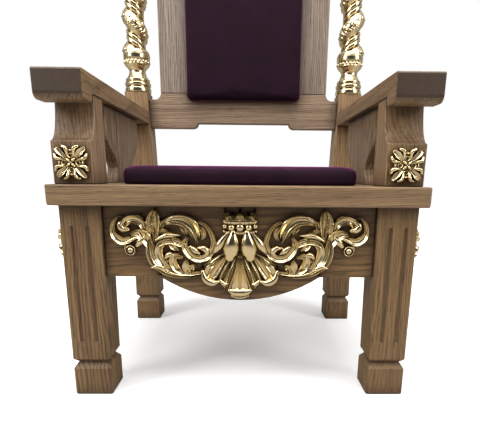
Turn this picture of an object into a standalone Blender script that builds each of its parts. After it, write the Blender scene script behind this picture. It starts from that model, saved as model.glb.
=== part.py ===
"""Bishop chair: an oak throne with gilded carving and velvet cushions.

Units are metres, +Z is up. The chair faces -Y and stands on Z = 0, with its
origin under the middle of its box. "Left" is -X, as seen from the front.
"""

import math

import bmesh
import bpy
import numpy as np
from mathutils import Vector

# The whole chair
TOTAL_DEPTH = 0.580
TOTAL_HEIGHT = 1.385
FRONT = -TOTAL_DEPTH / 2
BACK = TOTAL_DEPTH / 2
GAP = 0.0003
EDGE = 0.0025
SMALL_EDGE = 0.0015

# Legs, with a groove all round above each foot block
LEG_SPREAD = 0.720
LEG_DEPTH = 0.074
FRONT_LEG_TOP_WIDTH = 0.083
FRONT_LEG_LOW_WIDTH = 0.0785
FRONT_FOOT_WIDTH = 0.0805
BACK_LEG_INSET = 0.004
BACK_LEG_WIDTH = 0.0765
BACK_POST_TOP_WIDTH = 0.067
FOOT_HEIGHT = 0.0615
GROOVE_HEIGHT = 0.0225
GROOVE_DEPTH = 0.009
GROOVE_MIDDLE_SHARE = 0.58
POST_ABOVE_ARM = 0.0550

# Flutes on the front faces of the front legs
FLUTE_RADIUS = 0.0052
FLUTE_DEPTH = 0.0036
FLUTE_RISE = 0.038
FLUTE_TOP_GAP = 0.0414
FLUTE_PITCH = 0.0315

# Seat board
BOARD_OVERHANG = 0.021
BOARD_SIDE_OVERHANG = 0.014
BOARD_UNDERSIDE = 0.4134
BOARD_THICKNESS = 0.040
BOARD_BACK_INSET = 0.010
BOARD_CORNER = 0.007

# Aprons
APRON_SETBACK = 0.012
APRON_THICKNESS = 0.024
APRON_HEIGHT = 0.1479
APRON_DIP = 0.0511
APRON_DIP_HALF = 0.168

# Arm posts, with a rosette block below and a hollowed front above
ARM_POST_OVERHANG = 0.0045
ARM_POST_WIDTH = 0.0775
ARM_POST_DEPTH = 0.081
ARM_POST_SETBACK = 0.0256
KNEE_RISE = 0.0826
COVE_DEPTH = 0.034

# Arms
ARM_OVERHANG = 0.012
ARM_WIDTH = 0.0915
ARM_RISE = 0.1706
ARM_THICKNESS = 0.0365
NOSE_LENGTH = 0.0436
NOSE_DROP = 0.018
NOSE_ROUND = 0.014
NOSE_TOP_ROUND = 0.004
NOSE_SLOPE = 0.007

# Side splats
SPLAT_INSET = 0.017
SPLAT_THICKNESS = 0.026
SPLAT_CENTRE_SETBACK = 0.291
SPLAT_TOP_HALF = 0.131
SPLAT_NECK_HALF = 0.062
SPLAT_BASE_FLARE = 0.013
SPLAT_NECK_RISE = 0.036
SPLAT_SHOULDER_RISE = 0.108

# Back: rail, stiles, panel and crest
RAIL_SETBACK = 0.020
RAIL_THICKNESS = 0.030
RAIL_RISE = 0.1616
RAIL_HEIGHT = 0.0830
RAIL_COVE = 0.0145
RAIL_COVE_HALF = 0.1555
STILE_INSET = 0.0277
STILE_WIDTH = 0.085
STILE_RISE = 0.0180
PANEL_INSET = 0.006
PANEL_THICKNESS = 0.014
CREST_HEIGHT = 0.150
CREST_OVERHANG = 0.006
CREST_END_HEIGHT = 0.045
CREST_SHOULDER = 0.086
CREST_SETBACK = 0.002
CREST_COVE = 0.014

# Columns
COLUMN_PITCH = 0.091
COLUMN_SIDES = 12
RINGS_A_TURN = 10
COLUMN_BODY = 0.0275
COLUMN_SWELL = 0.0055
BASE_RADIUS = 0.0372
NECK_RADIUS = 0.0235
CUP_RADIUS = 0.0385
COLUMN_FOOT = 0.112
COLUMN_PROFILE = (
    (0.000, BASE_RADIUS),
    (0.116, BASE_RADIUS),
    (0.143, BASE_RADIUS * 0.94),
    (0.179, BASE_RADIUS * 0.99),
    (0.250, BASE_RADIUS * 0.99),
    (0.339, BASE_RADIUS * 0.88),
    (0.429, NECK_RADIUS * 1.06),
    (0.554, NECK_RADIUS),
    (0.661, NECK_RADIUS * 1.12),
    (0.750, CUP_RADIUS * 0.94),
    (0.804, CUP_RADIUS),
    (1.000, CUP_RADIUS * 0.94),
)
PLAIN_PROFILE = (0, 1, 5, 6, 7, 8, 9, 10, 11)

# Cushions
CUSHION_SIDE_INSET = 0.133
CUSHION_HEIGHT = 0.0390
CUSHION_SETBACK = 0.055
CUSHION_BACK_GAP = 0.012
BACK_CUSHION_LAP = 0.0047
BACK_CUSHION_DROP = 0.0045
BACK_CUSHION_TOP_GAP = 0.046
BACK_CUSHION_THICKNESS = 0.030
CUSHION_CORNER = 0.020
CUSHION_ROUND = 0.012

# Rosettes
ROSETTE_SIZE = 0.0635
ROSETTE_RELIEF = 0.0105
POST_ROSETTE_RISE = 0.0411
LEG_ROSETTE_DROP = 0.0749

# Apron ornament, drawn on a sheet of 516 by 188 units
ORNAMENT_SIDE_MARGIN = 0.019
ORNAMENT_TOP_MARGIN = 0.0035
ORNAMENT_LOW_MARGIN = 0.0070
ORNAMENT_RELIEF = 0.0150
ORNAMENT_DETAIL = 0.0185
DRAWN_WIDTH = 516.0
DRAWN_HEIGHT = 188.0

# Places that follow from the sizes above
LEG_FACE = FRONT + BOARD_OVERHANG
BACK_LEG_FACE = BACK - LEG_DEPTH
BACK_SPREAD = LEG_SPREAD - 2 * BACK_LEG_INSET
BACK_POST_INNER = BACK_SPREAD / 2 - BACK_LEG_WIDTH
GROOVE_TOP = FOOT_HEIGHT + GROOVE_HEIGHT

BOARD_WIDTH = LEG_SPREAD + 2 * BOARD_SIDE_OVERHANG
BOARD_TOP = BOARD_UNDERSIDE + BOARD_THICKNESS
APRON_FACE = LEG_FACE + APRON_SETBACK
APRON_LOW = BOARD_UNDERSIDE - APRON_HEIGHT

POST_SPREAD = LEG_SPREAD + 2 * ARM_POST_OVERHANG
ARM_POST_FACE = FRONT + ARM_POST_SETBACK
ARM_POST_X = POST_SPREAD / 2 - ARM_POST_WIDTH / 2
ARM_SPREAD = POST_SPREAD + 2 * ARM_OVERHANG
ARM_UNDERSIDE = BOARD_TOP + ARM_RISE
ARM_TOP = ARM_UNDERSIDE + ARM_THICKNESS
KNEE_HEIGHT = BOARD_TOP + KNEE_RISE
SPLAT_INNER = ARM_SPREAD / 2 - ARM_WIDTH + SPLAT_INSET

RAIL_FACE = BACK_LEG_FACE + RAIL_SETBACK
RAIL_LOW = BOARD_TOP + RAIL_RISE
RAIL_TOP = RAIL_LOW + RAIL_HEIGHT
STILE_FOOT = RAIL_TOP + STILE_RISE
STILE_OUTER = BACK_POST_INNER - STILE_INSET
POST_TOP = ARM_TOP + POST_ABOVE_ARM
CREST_UNDERSIDE = TOTAL_HEIGHT - CREST_HEIGHT
CREST_SPREAD = BACK_SPREAD + 2 * CREST_OVERHANG
COLUMN_X = BACK_SPREAD / 2 - BACK_POST_TOP_WIDTH / 2
COLUMN_Y = BACK - max(LEG_DEPTH / 2, CUP_RADIUS)

CUSHION_WIDTH = BOARD_WIDTH - 2 * CUSHION_SIDE_INSET
BACK_CUSHION_WIDTH = 2 * (STILE_OUTER - STILE_WIDTH + BACK_CUSHION_LAP)
BACK_CUSHION_LOW = RAIL_TOP - BACK_CUSHION_DROP
POST_ROSETTE_HEIGHT = BOARD_TOP + POST_ROSETTE_RISE
LEG_ROSETTE_HEIGHT = BOARD_UNDERSIDE - LEG_ROSETTE_DROP
SIDES = (("left", -1), ("right", 1))


def remove_everything():
    for obj in list(bpy.data.objects):
        bpy.data.objects.remove(obj, do_unlink=True)


def new_collection(name):
    collection = bpy.data.collections.new(name)
    bpy.context.scene.collection.children.link(collection)
    return collection


def finish(name, colour, roughness, metallic=0.0):
    """A Principled material."""
    material = bpy.data.materials.new(name)
    material.use_nodes = True
    shader = material.node_tree.nodes["Principled BSDF"]
    shader.inputs["Base Color"].default_value = (*colour, 1.0)
    shader.inputs["Roughness"].default_value = roughness
    shader.inputs["Metallic"].default_value = metallic
    return material


def oak(name):
    return finish(name, (0.19, 0.125, 0.075), 0.45)


def gilt(name):
    return finish(name, (0.80, 0.58, 0.25), 0.22, 1.0)


def velvet(name):
    return finish(name, (0.045, 0.008, 0.035), 0.9)


def add_object(name, mesh, collection, material):
    obj = bpy.data.objects.new(name, mesh)
    mesh.materials.clear()
    mesh.materials.append(material)
    collection.objects.link(obj)
    return obj


def round_edges(obj, width, segments=1):
    bevel = obj.modifiers.new("rounded edges", "BEVEL")
    bevel.width = width
    bevel.segments = segments
    bevel.limit_method = "ANGLE"
    bevel.angle_limit = math.radians(30)


def smooth(obj, degrees=35):
    obj.data.shade_smooth()
    obj.data.set_sharp_from_angle(angle=math.radians(degrees))


def arc(centre, radii, start, end, steps):
    """Points of an ellipse arc, angles in degrees, both ends included."""
    points = []
    for i in range(steps + 1):
        angle = math.radians(start + (end - start) * i / steps)
        x = centre[0] + radii[0] * math.cos(angle)
        y = centre[1] + radii[1] * math.sin(angle)
        points.append((x, y))
    return points


def rounded_rectangle(width, height, radius, steps=3):
    """A rectangle about the origin with round corners, counter-clockwise."""
    points = []
    for quarter, (sx, sy) in enumerate(((1, 1), (-1, 1), (-1, -1), (1, -1))):
        centre = (sx * (width / 2 - radius), sy * (height / 2 - radius))
        points += arc(centre, (radius, radius), 90 * quarter, 90 * quarter + 90, steps)
    return points


def sawn_board(name, outline, thickness, place, turn, material, edge=SMALL_EDGE, segments=1):
    """A board cut to a flat outline: a filled 2D curve, extruded, then made a mesh.

    The outline lies in the curve's own XY plane and the thickness runs along
    its Z. place and turn set where that plane stands in the chair.
    """
    curve = bpy.data.curves.new(name, "CURVE")
    curve.dimensions = "2D"
    curve.fill_mode = "BOTH"
    curve.extrude = thickness / 2
    spline = curve.splines.new("POLY")
    spline.points.add(len(outline) - 1)
    for point, (x, y) in zip(spline.points, outline):
        point.co = (x, y, 0.0, 1.0)
    spline.use_cyclic_u = True
    drawn = bpy.data.objects.new(name + "_outline", curve)
    drawn.location = place
    drawn.rotation_euler = turn
    CHAIR.objects.link(drawn)
    bpy.context.view_layer.update()
    depsgraph = bpy.context.evaluated_depsgraph_get()
    mesh = bpy.data.meshes.new_from_object(drawn.evaluated_get(depsgraph))
    mesh.name = name
    loose = bmesh.new()
    loose.from_mesh(mesh)
    bmesh.ops.remove_doubles(loose, verts=loose.verts, dist=1e-6)
    bmesh.ops.dissolve_limit(loose, angle_limit=0.01, verts=loose.verts, edges=loose.edges)
    bmesh.ops.recalc_face_normals(loose, faces=loose.faces)
    loose.to_mesh(mesh)
    loose.free()
    obj = add_object(name, mesh, CHAIR, material)
    obj.matrix_world = drawn.matrix_world.copy()
    bpy.data.objects.remove(drawn, do_unlink=True)
    round_edges(obj, edge, segments)
    smooth(obj)
    return obj


FACING_FRONT = (math.radians(90), 0.0, 0.0)
FACING_SIDE = (math.radians(90), 0.0, math.radians(90))
LYING = (0.0, 0.0, 0.0)


def front_board(name, outline, near, thickness, material, edge=SMALL_EDGE, segments=1):
    """A board whose X-Z outline faces the front, from Y = near back by its thickness."""
    place = (0.0, near + thickness / 2, 0.0)
    return sawn_board(name, outline, thickness, place, FACING_FRONT, material, edge, segments)


def side_board(name, outline, low_x, thickness, material, edge=SMALL_EDGE, segments=1):
    """A board whose Y-Z outline faces the side, from X = low_x outward."""
    place = (low_x + thickness / 2, 0.0, 0.0)
    return sawn_board(name, outline, thickness, place, FACING_SIDE, material, edge, segments)


def loft(name, rings, material, smooth_angle=35):
    """A closed solid through rings of as many points each, capped at both ends.

    Its four-sided faces are split along their shorter diagonal, which keeps a
    twisted shape full.
    """
    mesh = bpy.data.meshes.new(name)
    body = bmesh.new()
    rows = [[body.verts.new(point) for point in ring] for ring in rings]
    count = len(rows[0])
    for lower, upper in zip(rows, rows[1:]):
        for i in range(count):
            j = (i + 1) % count
            body.faces.new((lower[i], lower[j], upper[j], upper[i]))
    bmesh.ops.triangulate(body, faces=body.faces, quad_method="SHORT_EDGE")
    body.faces.new(rows[0][::-1])
    body.faces.new(rows[-1])
    bmesh.ops.recalc_face_normals(body, faces=body.faces)
    body.to_mesh(mesh)
    body.free()
    obj = add_object(name, mesh, CHAIR, material)
    smooth(obj, smooth_angle)
    return obj


def chamfered_ring(low_x, high_x, low_y, high_y, z, cut):
    """The eight corners of a rectangle at height z with its corners cut off."""
    return [
        (low_x + cut, low_y, z),
        (high_x - cut, low_y, z),
        (high_x, low_y + cut, z),
        (high_x, high_y - cut, z),
        (high_x - cut, high_y, z),
        (low_x + cut, high_y, z),
        (low_x, high_y - cut, z),
        (low_x, low_y + cut, z),
    ]


def front_leg_inner(z):
    """The inner face of a front leg, as a distance from the middle, at height z."""
    share = (z - GROOVE_TOP) / (BOARD_UNDERSIDE - GROOVE_TOP)
    width = FRONT_LEG_LOW_WIDTH + share * (FRONT_LEG_TOP_WIDTH - FRONT_LEG_LOW_WIDTH)
    return LEG_SPREAD / 2 - width


def back_post_inner(z):
    """The inner face of a back post, as a distance from the middle, at height z.

    It is upright below the top of the seat board and leans outward above it.
    """
    share = max(z - BOARD_TOP, 0.0) / (POST_TOP - BOARD_TOP)
    width = BACK_LEG_WIDTH + share * (BACK_POST_TOP_WIDTH - BACK_LEG_WIDTH)
    return BACK_SPREAD / 2 - width


def leg_rings(side, outer, foot, low, upper, near):
    """Rings of a leg: a block of foot width, a groove, then the shaft.

    low is the shaft's width just above the groove, and upper holds the height and
    width of each place further up.
    """
    groove_middle = FOOT_HEIGHT + GROOVE_MIDDLE_SHARE * GROOVE_HEIGHT
    stations = [
        (0.0, foot, EDGE),
        (EDGE, foot, 0.0),
        (FOOT_HEIGHT, foot, 0.0),
        (groove_middle, min(foot, low), GROOVE_DEPTH),
        (GROOVE_TOP, low, 0.0),
    ]
    stations += [(z, width, 0.0) for z, width in upper]
    rings = []
    for z, width, inset in stations:
        ends = sorted((side * (outer - inset), side * (outer - width + inset)))
        rings.append(
            chamfered_ring(*ends, near + inset, near + LEG_DEPTH - inset, z, EDGE)
        )
    return rings


def capsule(name, radius, low, high, x, y):
    """A round-ended upright bar: a sphere whose halves are drawn apart."""
    mesh = bpy.data.meshes.new(name)
    body = bmesh.new()
    bmesh.ops.create_uvsphere(body, u_segments=10, v_segments=6, radius=radius)
    reach = (high - low) / 2 - radius
    for vertex in body.verts:
        if vertex.co.z > radius / 10:
            vertex.co.z += reach
        elif vertex.co.z < -radius / 10:
            vertex.co.z -= reach
    body.to_mesh(mesh)
    body.free()
    obj = add_object(name, mesh, CUTTERS, CUTTER_FINISH)
    obj.location = (x, y, (low + high) / 2)
    obj.hide_render = True
    obj.display_type = "WIRE"
    return obj


def cut(obj, cutter):
    boolean = obj.modifiers.new("cut " + cutter.name, "BOOLEAN")
    boolean.operation = "DIFFERENCE"
    boolean.solver = "EXACT"
    boolean.object = cutter


def make_front_leg(word, side):
    name = "front_leg_" + word
    top = [(BOARD_UNDERSIDE - GAP, FRONT_LEG_TOP_WIDTH)]
    rings = leg_rings(
        side, LEG_SPREAD / 2, FRONT_FOOT_WIDTH, FRONT_LEG_LOW_WIDTH, top, LEG_FACE
    )
    leg = loft(name, rings, oak(name))
    middle = LEG_SPREAD / 2 - FRONT_LEG_LOW_WIDTH / 2
    for i, offset in enumerate((-FLUTE_PITCH / 2, FLUTE_PITCH / 2)):
        flute = capsule(
            f"flute_{word}_{i}",
            FLUTE_RADIUS,
            GROOVE_TOP + FLUTE_RISE,
            BOARD_UNDERSIDE - FLUTE_TOP_GAP,
            side * (middle + offset),
            LEG_FACE - FLUTE_RADIUS + FLUTE_DEPTH,
        )
        cut(leg, flute)


def make_back_leg(word, side):
    name = "back_leg_" + word
    upper = [(BOARD_TOP, BACK_LEG_WIDTH), (POST_TOP, BACK_POST_TOP_WIDTH)]
    rings = leg_rings(
        side, BACK_SPREAD / 2, BACK_LEG_WIDTH, BACK_LEG_WIDTH, upper, BACK_LEG_FACE
    )
    loft(name, rings, oak(name))


def make_front_apron():
    """Straight lower edge at the ends, and one long dipping arc between them."""
    radius = (APRON_DIP_HALF**2 + APRON_DIP**2) / (2 * APRON_DIP)
    low = APRON_LOW - APRON_DIP
    sweep = math.degrees(math.asin(APRON_DIP_HALF / radius))
    dip = arc((0.0, low + radius), (radius, radius), -90 - sweep, -90 + sweep, 16)
    top = BOARD_UNDERSIDE - GAP
    inner_low = front_leg_inner(APRON_LOW) - GAP
    inner_top = front_leg_inner(top) - GAP
    outline = [(-inner_low, APRON_LOW), *dip, (inner_low, APRON_LOW)]
    outline += [(inner_top, top), (-inner_top, top)]
    name = "front_apron"
    front_board(name, outline, APRON_FACE, APRON_THICKNESS, oak(name))


def make_other_aprons():
    top = BOARD_UNDERSIDE - GAP
    across = BACK_POST_INNER - GAP
    outline = [(-across, APRON_LOW), (across, APRON_LOW), (across, top), (-across, top)]
    near = BACK - APRON_SETBACK - APRON_THICKNESS
    front_board("back_apron", outline, near, APRON_THICKNESS, oak("back_apron"))
    low_y = LEG_FACE + LEG_DEPTH + GAP
    high_y = BACK_LEG_FACE - GAP
    outline = [(low_y, APRON_LOW), (high_y, APRON_LOW), (high_y, top), (low_y, top)]
    outer = BACK_SPREAD / 2 - APRON_SETBACK
    for word, side in SIDES:
        name = "side_apron_" + word
        low_x = min(side * outer, side * (outer - APRON_THICKNESS))
        side_board(name, outline, low_x, APRON_THICKNESS, oak(name))


def make_seat_board():
    """A thick board, notched at the back round the two posts."""
    half = BOARD_WIDTH / 2
    corner = BOARD_CORNER
    ends = arc((half - corner, FRONT + corner), (corner, corner), -90, 0, 3)
    right = ends + [
        (half, BACK_LEG_FACE - GAP),
        (BACK_POST_INNER - GAP, BACK_LEG_FACE - GAP),
        (BACK_POST_INNER - GAP, BACK - BOARD_BACK_INSET),
    ]
    outline = right + [(-x, y) for x, y in reversed(right)]
    place = (0.0, 0.0, BOARD_UNDERSIDE + BOARD_THICKNESS / 2)
    name = "seat_board"
    sawn_board(name, outline, BOARD_THICKNESS, place, LYING, oak(name), EDGE, 2)


def make_arm_post(word, side):
    """A block below; above the knee its front is hollowed in a quarter ellipse."""
    near = ARM_POST_FACE
    far = near + ARM_POST_DEPTH
    top = ARM_UNDERSIDE - GAP
    hollow = arc((near, top), (COVE_DEPTH, top - KNEE_HEIGHT), -90, 0, 9)
    low = BOARD_TOP + GAP
    outline = [(near, low), (far, low), (far, top)] + hollow[::-1]
    name = "arm_post_" + word
    low_x = side * ARM_POST_X - ARM_POST_WIDTH / 2
    side_board(name, outline, low_x, ARM_POST_WIDTH, oak(name))


def make_arm(word, side):
    """A flat arm whose thicker nose hooks down in front of its post."""
    nose_low = ARM_UNDERSIDE - NOSE_DROP
    outline = arc(
        (FRONT + NOSE_ROUND, nose_low + NOSE_ROUND),
        (NOSE_ROUND, NOSE_ROUND),
        180,
        270,
        4,
    )
    outline += [
        (FRONT + NOSE_LENGTH, nose_low),
        (FRONT + NOSE_LENGTH + NOSE_SLOPE, ARM_UNDERSIDE),
        (BACK_LEG_FACE - GAP, ARM_UNDERSIDE),
        (BACK_LEG_FACE - GAP, ARM_TOP),
    ]
    outline += arc(
        (FRONT + NOSE_TOP_ROUND, ARM_TOP - NOSE_TOP_ROUND),
        (NOSE_TOP_ROUND, NOSE_TOP_ROUND),
        90,
        180,
        3,
    )
    name = "arm_" + word
    centre = side * (ARM_SPREAD - ARM_WIDTH) / 2
    side_board(name, outline, centre - ARM_WIDTH / 2, ARM_WIDTH, oak(name), EDGE, 2)


def smoothstep(value):
    value = min(max(value, 0.0), 1.0)
    return value * value * (3 - 2 * value)


def splat_half_width(rise):
    """Half the splat's width at a rise above the seat: base flare, neck, shoulders."""
    shoulder = (rise - SPLAT_NECK_RISE) / (SPLAT_SHOULDER_RISE - SPLAT_NECK_RISE)
    width = SPLAT_NECK_HALF + (SPLAT_TOP_HALF - SPLAT_NECK_HALF) * smoothstep(shoulder)
    return width + SPLAT_BASE_FLARE * (1 - smoothstep(rise / SPLAT_NECK_RISE))


def make_splat(word, side):
    """An upright vase-shaped board under each arm."""
    centre = FRONT + SPLAT_CENTRE_SETBACK
    low = BOARD_TOP + GAP
    height = ARM_UNDERSIDE - GAP - low
    steps = 14
    front_edge = []
    back_edge = []
    for i in range(steps + 1):
        rise = height * i / steps
        half = splat_half_width(rise)
        front_edge.append((centre - half, low + rise))
        back_edge.append((centre + half, low + rise))
    name = "side_splat_" + word
    low_x = min(side * SPLAT_INNER, side * (SPLAT_INNER + SPLAT_THICKNESS))
    side_board(name, back_edge + front_edge[::-1], low_x, SPLAT_THICKNESS, oak(name))


def make_back_rail():
    """A rail between the posts: its lower edge steps up through two small coves,
    and its upper edge runs out of each stile in a round fillet."""
    low_end = back_post_inner(RAIL_LOW) - GAP
    top_end = back_post_inner(RAIL_TOP) - GAP
    cove = RAIL_COVE
    low = RAIL_LOW
    step_x = RAIL_COVE_HALF
    lower = [(step_x - cove * math.sin(math.radians(a)),
              low + cove * (1 - math.cos(math.radians(a)))) for a in (0, 30, 60, 90)]
    right = lower[::-1] + [(low_end, low), (top_end, RAIL_TOP)]
    fillet = STILE_RISE
    right += arc((STILE_OUTER + fillet, RAIL_TOP + fillet), (fillet, fillet), 270, 180, 5)
    outline = right + [(-x, z) for x, z in reversed(right)]
    name = "back_rail"
    front_board(name, outline, RAIL_FACE, RAIL_THICKNESS, oak(name))


def make_back_boards():
    """Two stiles on the rail, and a panel between them."""
    top = CREST_UNDERSIDE - GAP
    inner = STILE_OUTER - STILE_WIDTH
    low = STILE_FOOT + GAP
    for word, side in SIDES:
        name = "back_stile_" + word
        low_x, high_x = sorted((side * inner, side * STILE_OUTER))
        outline = [(low_x, low), (high_x, low), (high_x, top), (low_x, top)]
        front_board(name, outline, RAIL_FACE, RAIL_THICKNESS, oak(name))
    half = inner - GAP
    outline = [(-half, low), (half, low), (half, top), (-half, top)]
    name = "back_panel"
    front_board(name, outline, RAIL_FACE + PANEL_INSET, PANEL_THICKNESS, oak(name))


def make_crest_rail():
    """A plain board over columns and stiles: flat shoulders, a cove, then one arch."""
    low = CREST_UNDERSIDE
    half = CREST_SPREAD / 2
    shoulder_top = low + CREST_END_HEIGHT
    foot = half - CREST_SHOULDER
    cove = CREST_COVE
    right = [(half, low), (half, shoulder_top), (foot, shoulder_top)]
    right += arc((foot, shoulder_top + cove), (cove, cove), 270, 180, 4)[1:]
    spring_x, spring_z = right[-1]
    rise = TOTAL_HEIGHT - spring_z
    radius = (spring_x**2 + rise**2) / (2 * rise)
    sweep = math.degrees(math.asin(spring_x / radius))
    arch = arc((0.0, TOTAL_HEIGHT - radius), (radius, radius), 90 - sweep, 90 + sweep, 20)
    outline = right + arch[1:-1] + [(-x, z) for x, z in reversed(right)]
    name = "crest_rail"
    near = BACK_LEG_FACE + CREST_SETBACK
    thickness = LEG_DEPTH - 2 * CREST_SETBACK
    front_board(name, outline, near, thickness, oak(name), EDGE, 2)


def column_stations():
    """Rings of a column as (height, body radius, turn of the twist or None).

    A turned base, a neck and a cup carry the twisted shaft, and plainer ones
    close it below the crest rail.
    """
    height = CREST_UNDERSIDE - POST_TOP - 2 * GAP
    span = height - 2 * COLUMN_FOOT
    foot = [(share * COLUMN_FOOT, radius) for share, radius in COLUMN_PROFILE]
    plain = [foot[i] for i in PLAIN_PROFILE]
    turns = span / COLUMN_PITCH
    count = max(4, round(turns * RINGS_A_TURN))
    stations = [(rise, radius, None) for rise, radius in foot]
    for i in range(1, count):
        share = i / count
        stations.append((COLUMN_FOOT + span * share, 0.0, 2 * math.pi * turns * share))
    stations += [(height - rise, radius, None) for rise, radius in reversed(plain)]
    return stations, 2 * math.pi * turns


def twisted_radius(turn):
    """Radius round the twisted shaft: a fat garland lobe at 0 degrees, two thin
    strands at the far side and a groove beside each of them."""
    angle = math.degrees(math.atan2(math.sin(turn), math.cos(turn)))
    radius = COLUMN_BODY + COLUMN_SWELL * math.cos(turn)
    for groove, depth, width in ((112, 0.0035, 20), (-112, 0.0035, 20), (180, 0.0025, 18)):
        away = (angle - groove + 180) % 360 - 180
        radius -= depth * math.exp(-((away / width) ** 2))
    return radius


def make_column(word, side):
    """The left column is the mirror image of the right one, so they twist opposite ways."""
    name = "column_" + word
    stations, whole_turn = column_stations()
    rings = []
    for rise, body, turn in stations:
        if turn is None:
            start = 0.0 if rise <= COLUMN_FOOT else whole_turn
        else:
            start = turn
        ring = []
        for i in range(COLUMN_SIDES):
            angle = 2 * math.pi * i / COLUMN_SIDES
            radius = body if turn is None else twisted_radius(angle)
            ring.append((
                side * (COLUMN_X + radius * math.cos(angle + start)),
                COLUMN_Y + radius * math.sin(angle + start),
                POST_TOP + GAP + rise,
            ))
        rings.append(ring)
    loft(name, rings, gilt(name), smooth_angle=60)


def rosette_shape(angle):
    """Reach of the rosette at an angle: four corner leaves and shallow bays between."""
    square = 1.0 / max(abs(math.cos(angle)), abs(math.sin(angle)))
    bay = abs(math.cos(2 * angle)) ** 3
    return ROSETTE_SIZE / 2 * square * (1 - 0.10 * bay)


def make_rosette(name, place, turn):
    """A square gilt rosette: a small boss, four drilled hollows and four corner leaves."""
    count = 24
    shares = (0.16, 0.30, 0.46, 0.66, 0.92, 1.0)
    rings = []
    for share in shares:
        ring = []
        for i in range(count):
            angle = 2 * math.pi * i / count
            reach = share * rosette_shape(angle)
            corner = abs(math.sin(2 * angle))
            height = 0.55 + 0.35 * corner
            if share < 0.2:
                height = 0.95
            elif share < 0.35:
                height = 0.50
            elif share < 0.5:
                height = 0.25 + 0.60 * corner
            elif share > 0.9:
                height *= 0.75
            if share == 1.0:
                height = 0.0
            ring.append((reach * math.cos(angle), reach * math.sin(angle), ROSETTE_RELIEF * height))
        rings.append(ring)
    obj = loft(name, rings, gilt(name), smooth_angle=50)
    obj.location = place
    obj.rotation_euler = turn


def make_rosettes():
    for word, side in SIDES:
        place = (side * ARM_POST_X, ARM_POST_FACE - GAP, POST_ROSETTE_HEIGHT)
        make_rosette("post_rosette_" + word, place, FACING_FRONT)
        place = (side * (LEG_SPREAD / 2 + GAP), LEG_FACE + LEG_DEPTH / 2, LEG_ROSETTE_HEIGHT)
        turn = (math.radians(90), 0.0, side * math.radians(90))
        make_rosette("leg_rosette_" + word, place, turn)


# The ornament's right half, on the drawn sheet: u runs outward from the middle
# and v upward from its foot. Each stroke has its points, its half widths along
# the way and its height as a share of the full relief.
SCROLL_STROKES = {
    "ring": (((152, 160), (128, 166), (105, 167), (82, 158), (66, 142), (56, 123), (54, 106),
              (62, 91), (80, 84), (96, 89), (107, 103), (109, 117), (102, 125)),
             (3, 5, 5, 5, 7, 5), 0.80),
    "broad leaf": (((150, 154), (127, 159), (107, 153), (94, 141), (87, 127), (86, 119)),
                   (3, 6, 12, 14, 10, 5), 0.95),
    "flower left": (((70, 92), (71, 99), (73, 106)), (5, 8, 4), 0.70),
    "flower right": (((97, 94), (93, 100), (87, 106)), (5, 7, 4), 0.65),
    "outer stem": (((176, 122), (184, 98), (177, 75), (160, 61), (136, 52), (112, 51)),
                   (7, 8, 7, 6, 4, 2), 0.85),
    "inner stem": (((146, 113), (160, 104), (166, 88), (158, 70), (142, 58), (120, 52),
                    (96, 54), (70, 60)), (6, 9, 9, 7, 5, 4, 3), 0.75),
    "branch": (((166, 122), (150, 119), (134, 114), (122, 108), (111, 108)), (8, 8, 7, 7, 5), 0.70),
    "branch leaf": (((163, 126), (150, 130), (135, 131), (120, 132)), (5, 7, 5, 1), 0.80),
    "upright leaf": (((171, 112), (173, 130), (173, 150), (169, 172), (166, 187)),
                     (6, 11, 17, 11, 1), 1.0),
    "inner lobe": (((168, 140), (158, 152), (151, 164)), (6, 6, 1), 0.8),
    "outer lobe": (((178, 138), (188, 152), (198, 168)), (6, 7, 1), 0.8),
    "volute": (((230, 172), (246, 166), (255, 151), (254, 136), (245, 125), (231, 121), (219, 124)),
               (1, 4, 5, 7, 8, 6, 3), 0.85),
    "volute arm": (((190, 146), (200, 160), (214, 165), (229, 162), (238, 153), (235, 146)),
                   (4, 4, 5, 5, 6, 5), 0.75),
    "side leaf": (((178, 104), (189, 121), (204, 132), (222, 140)), (7, 10, 11, 2), 0.90),
    "side leaf lobe": (((192, 122), (201, 116), (206, 109)), (6, 6, 2), 0.70),
    "ball strap": (((206, 124), (220, 121), (233, 113), (233, 99)), (4, 4, 3, 2), 0.45),
    "curl one": (((152, 56), (153, 72), (149, 86), (142, 93)), (6, 7, 6, 3), 0.70),
    "curl two": (((138, 54), (137, 72), (134, 86), (126, 93), (119, 86)), (6, 7, 6, 5, 2), 0.75),
    "curl three": (((120, 51), (122, 62), (125, 74), (121, 84)), (7, 8, 5, 2), 0.65),
    "small leaf": (((88, 56), (99, 68), (110, 81)), (6, 8, 1), 0.65),
    "tail leaf": (((152, 56), (166, 62), (180, 64)), (6, 5, 1), 0.60),
    "crown petal": (((20, 156), (24, 170), (31, 183)), (5, 6, 1), 0.70),
    "crown inner petal": (((9, 156), (12, 169), (15, 180)), (5, 7, 1), 0.75),
    "crown band": (((0, 158), (14, 158), (27, 157)), (5, 5, 3), 0.60),
    "bead band": (((0, 140), (16, 140), (31, 143)), (5, 4, 3), 0.45),
    "big petal": (((13, 134), (16, 118), (19, 99), (21, 83)), (9, 15, 14, 2), 1.0),
    "narrow petal": (((26, 134), (37, 117), (53, 99)), (6, 6, 2), 0.70),
    "fan outer lobe": (((26, 92), (41, 71), (53, 54), (61, 42)), (6, 13, 15, 9), 0.70),
    "fan rim leaf": (((36, 90), (54, 76), (74, 70), (81, 62)), (4, 6, 6, 1), 0.55),
    "fan outer roll": (((45, 37), (59, 39), (73, 50)), (5, 8, 4), 0.95),
    "fan mid lobe": (((15, 86), (26, 64), (34, 48), (37, 37)), (5, 7, 7, 4), 0.75),
    "fan middle side": (((3, 80), (12, 55), (17, 36), (28, 22)), (7, 9, 9, 4), 0.80),
}
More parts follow.
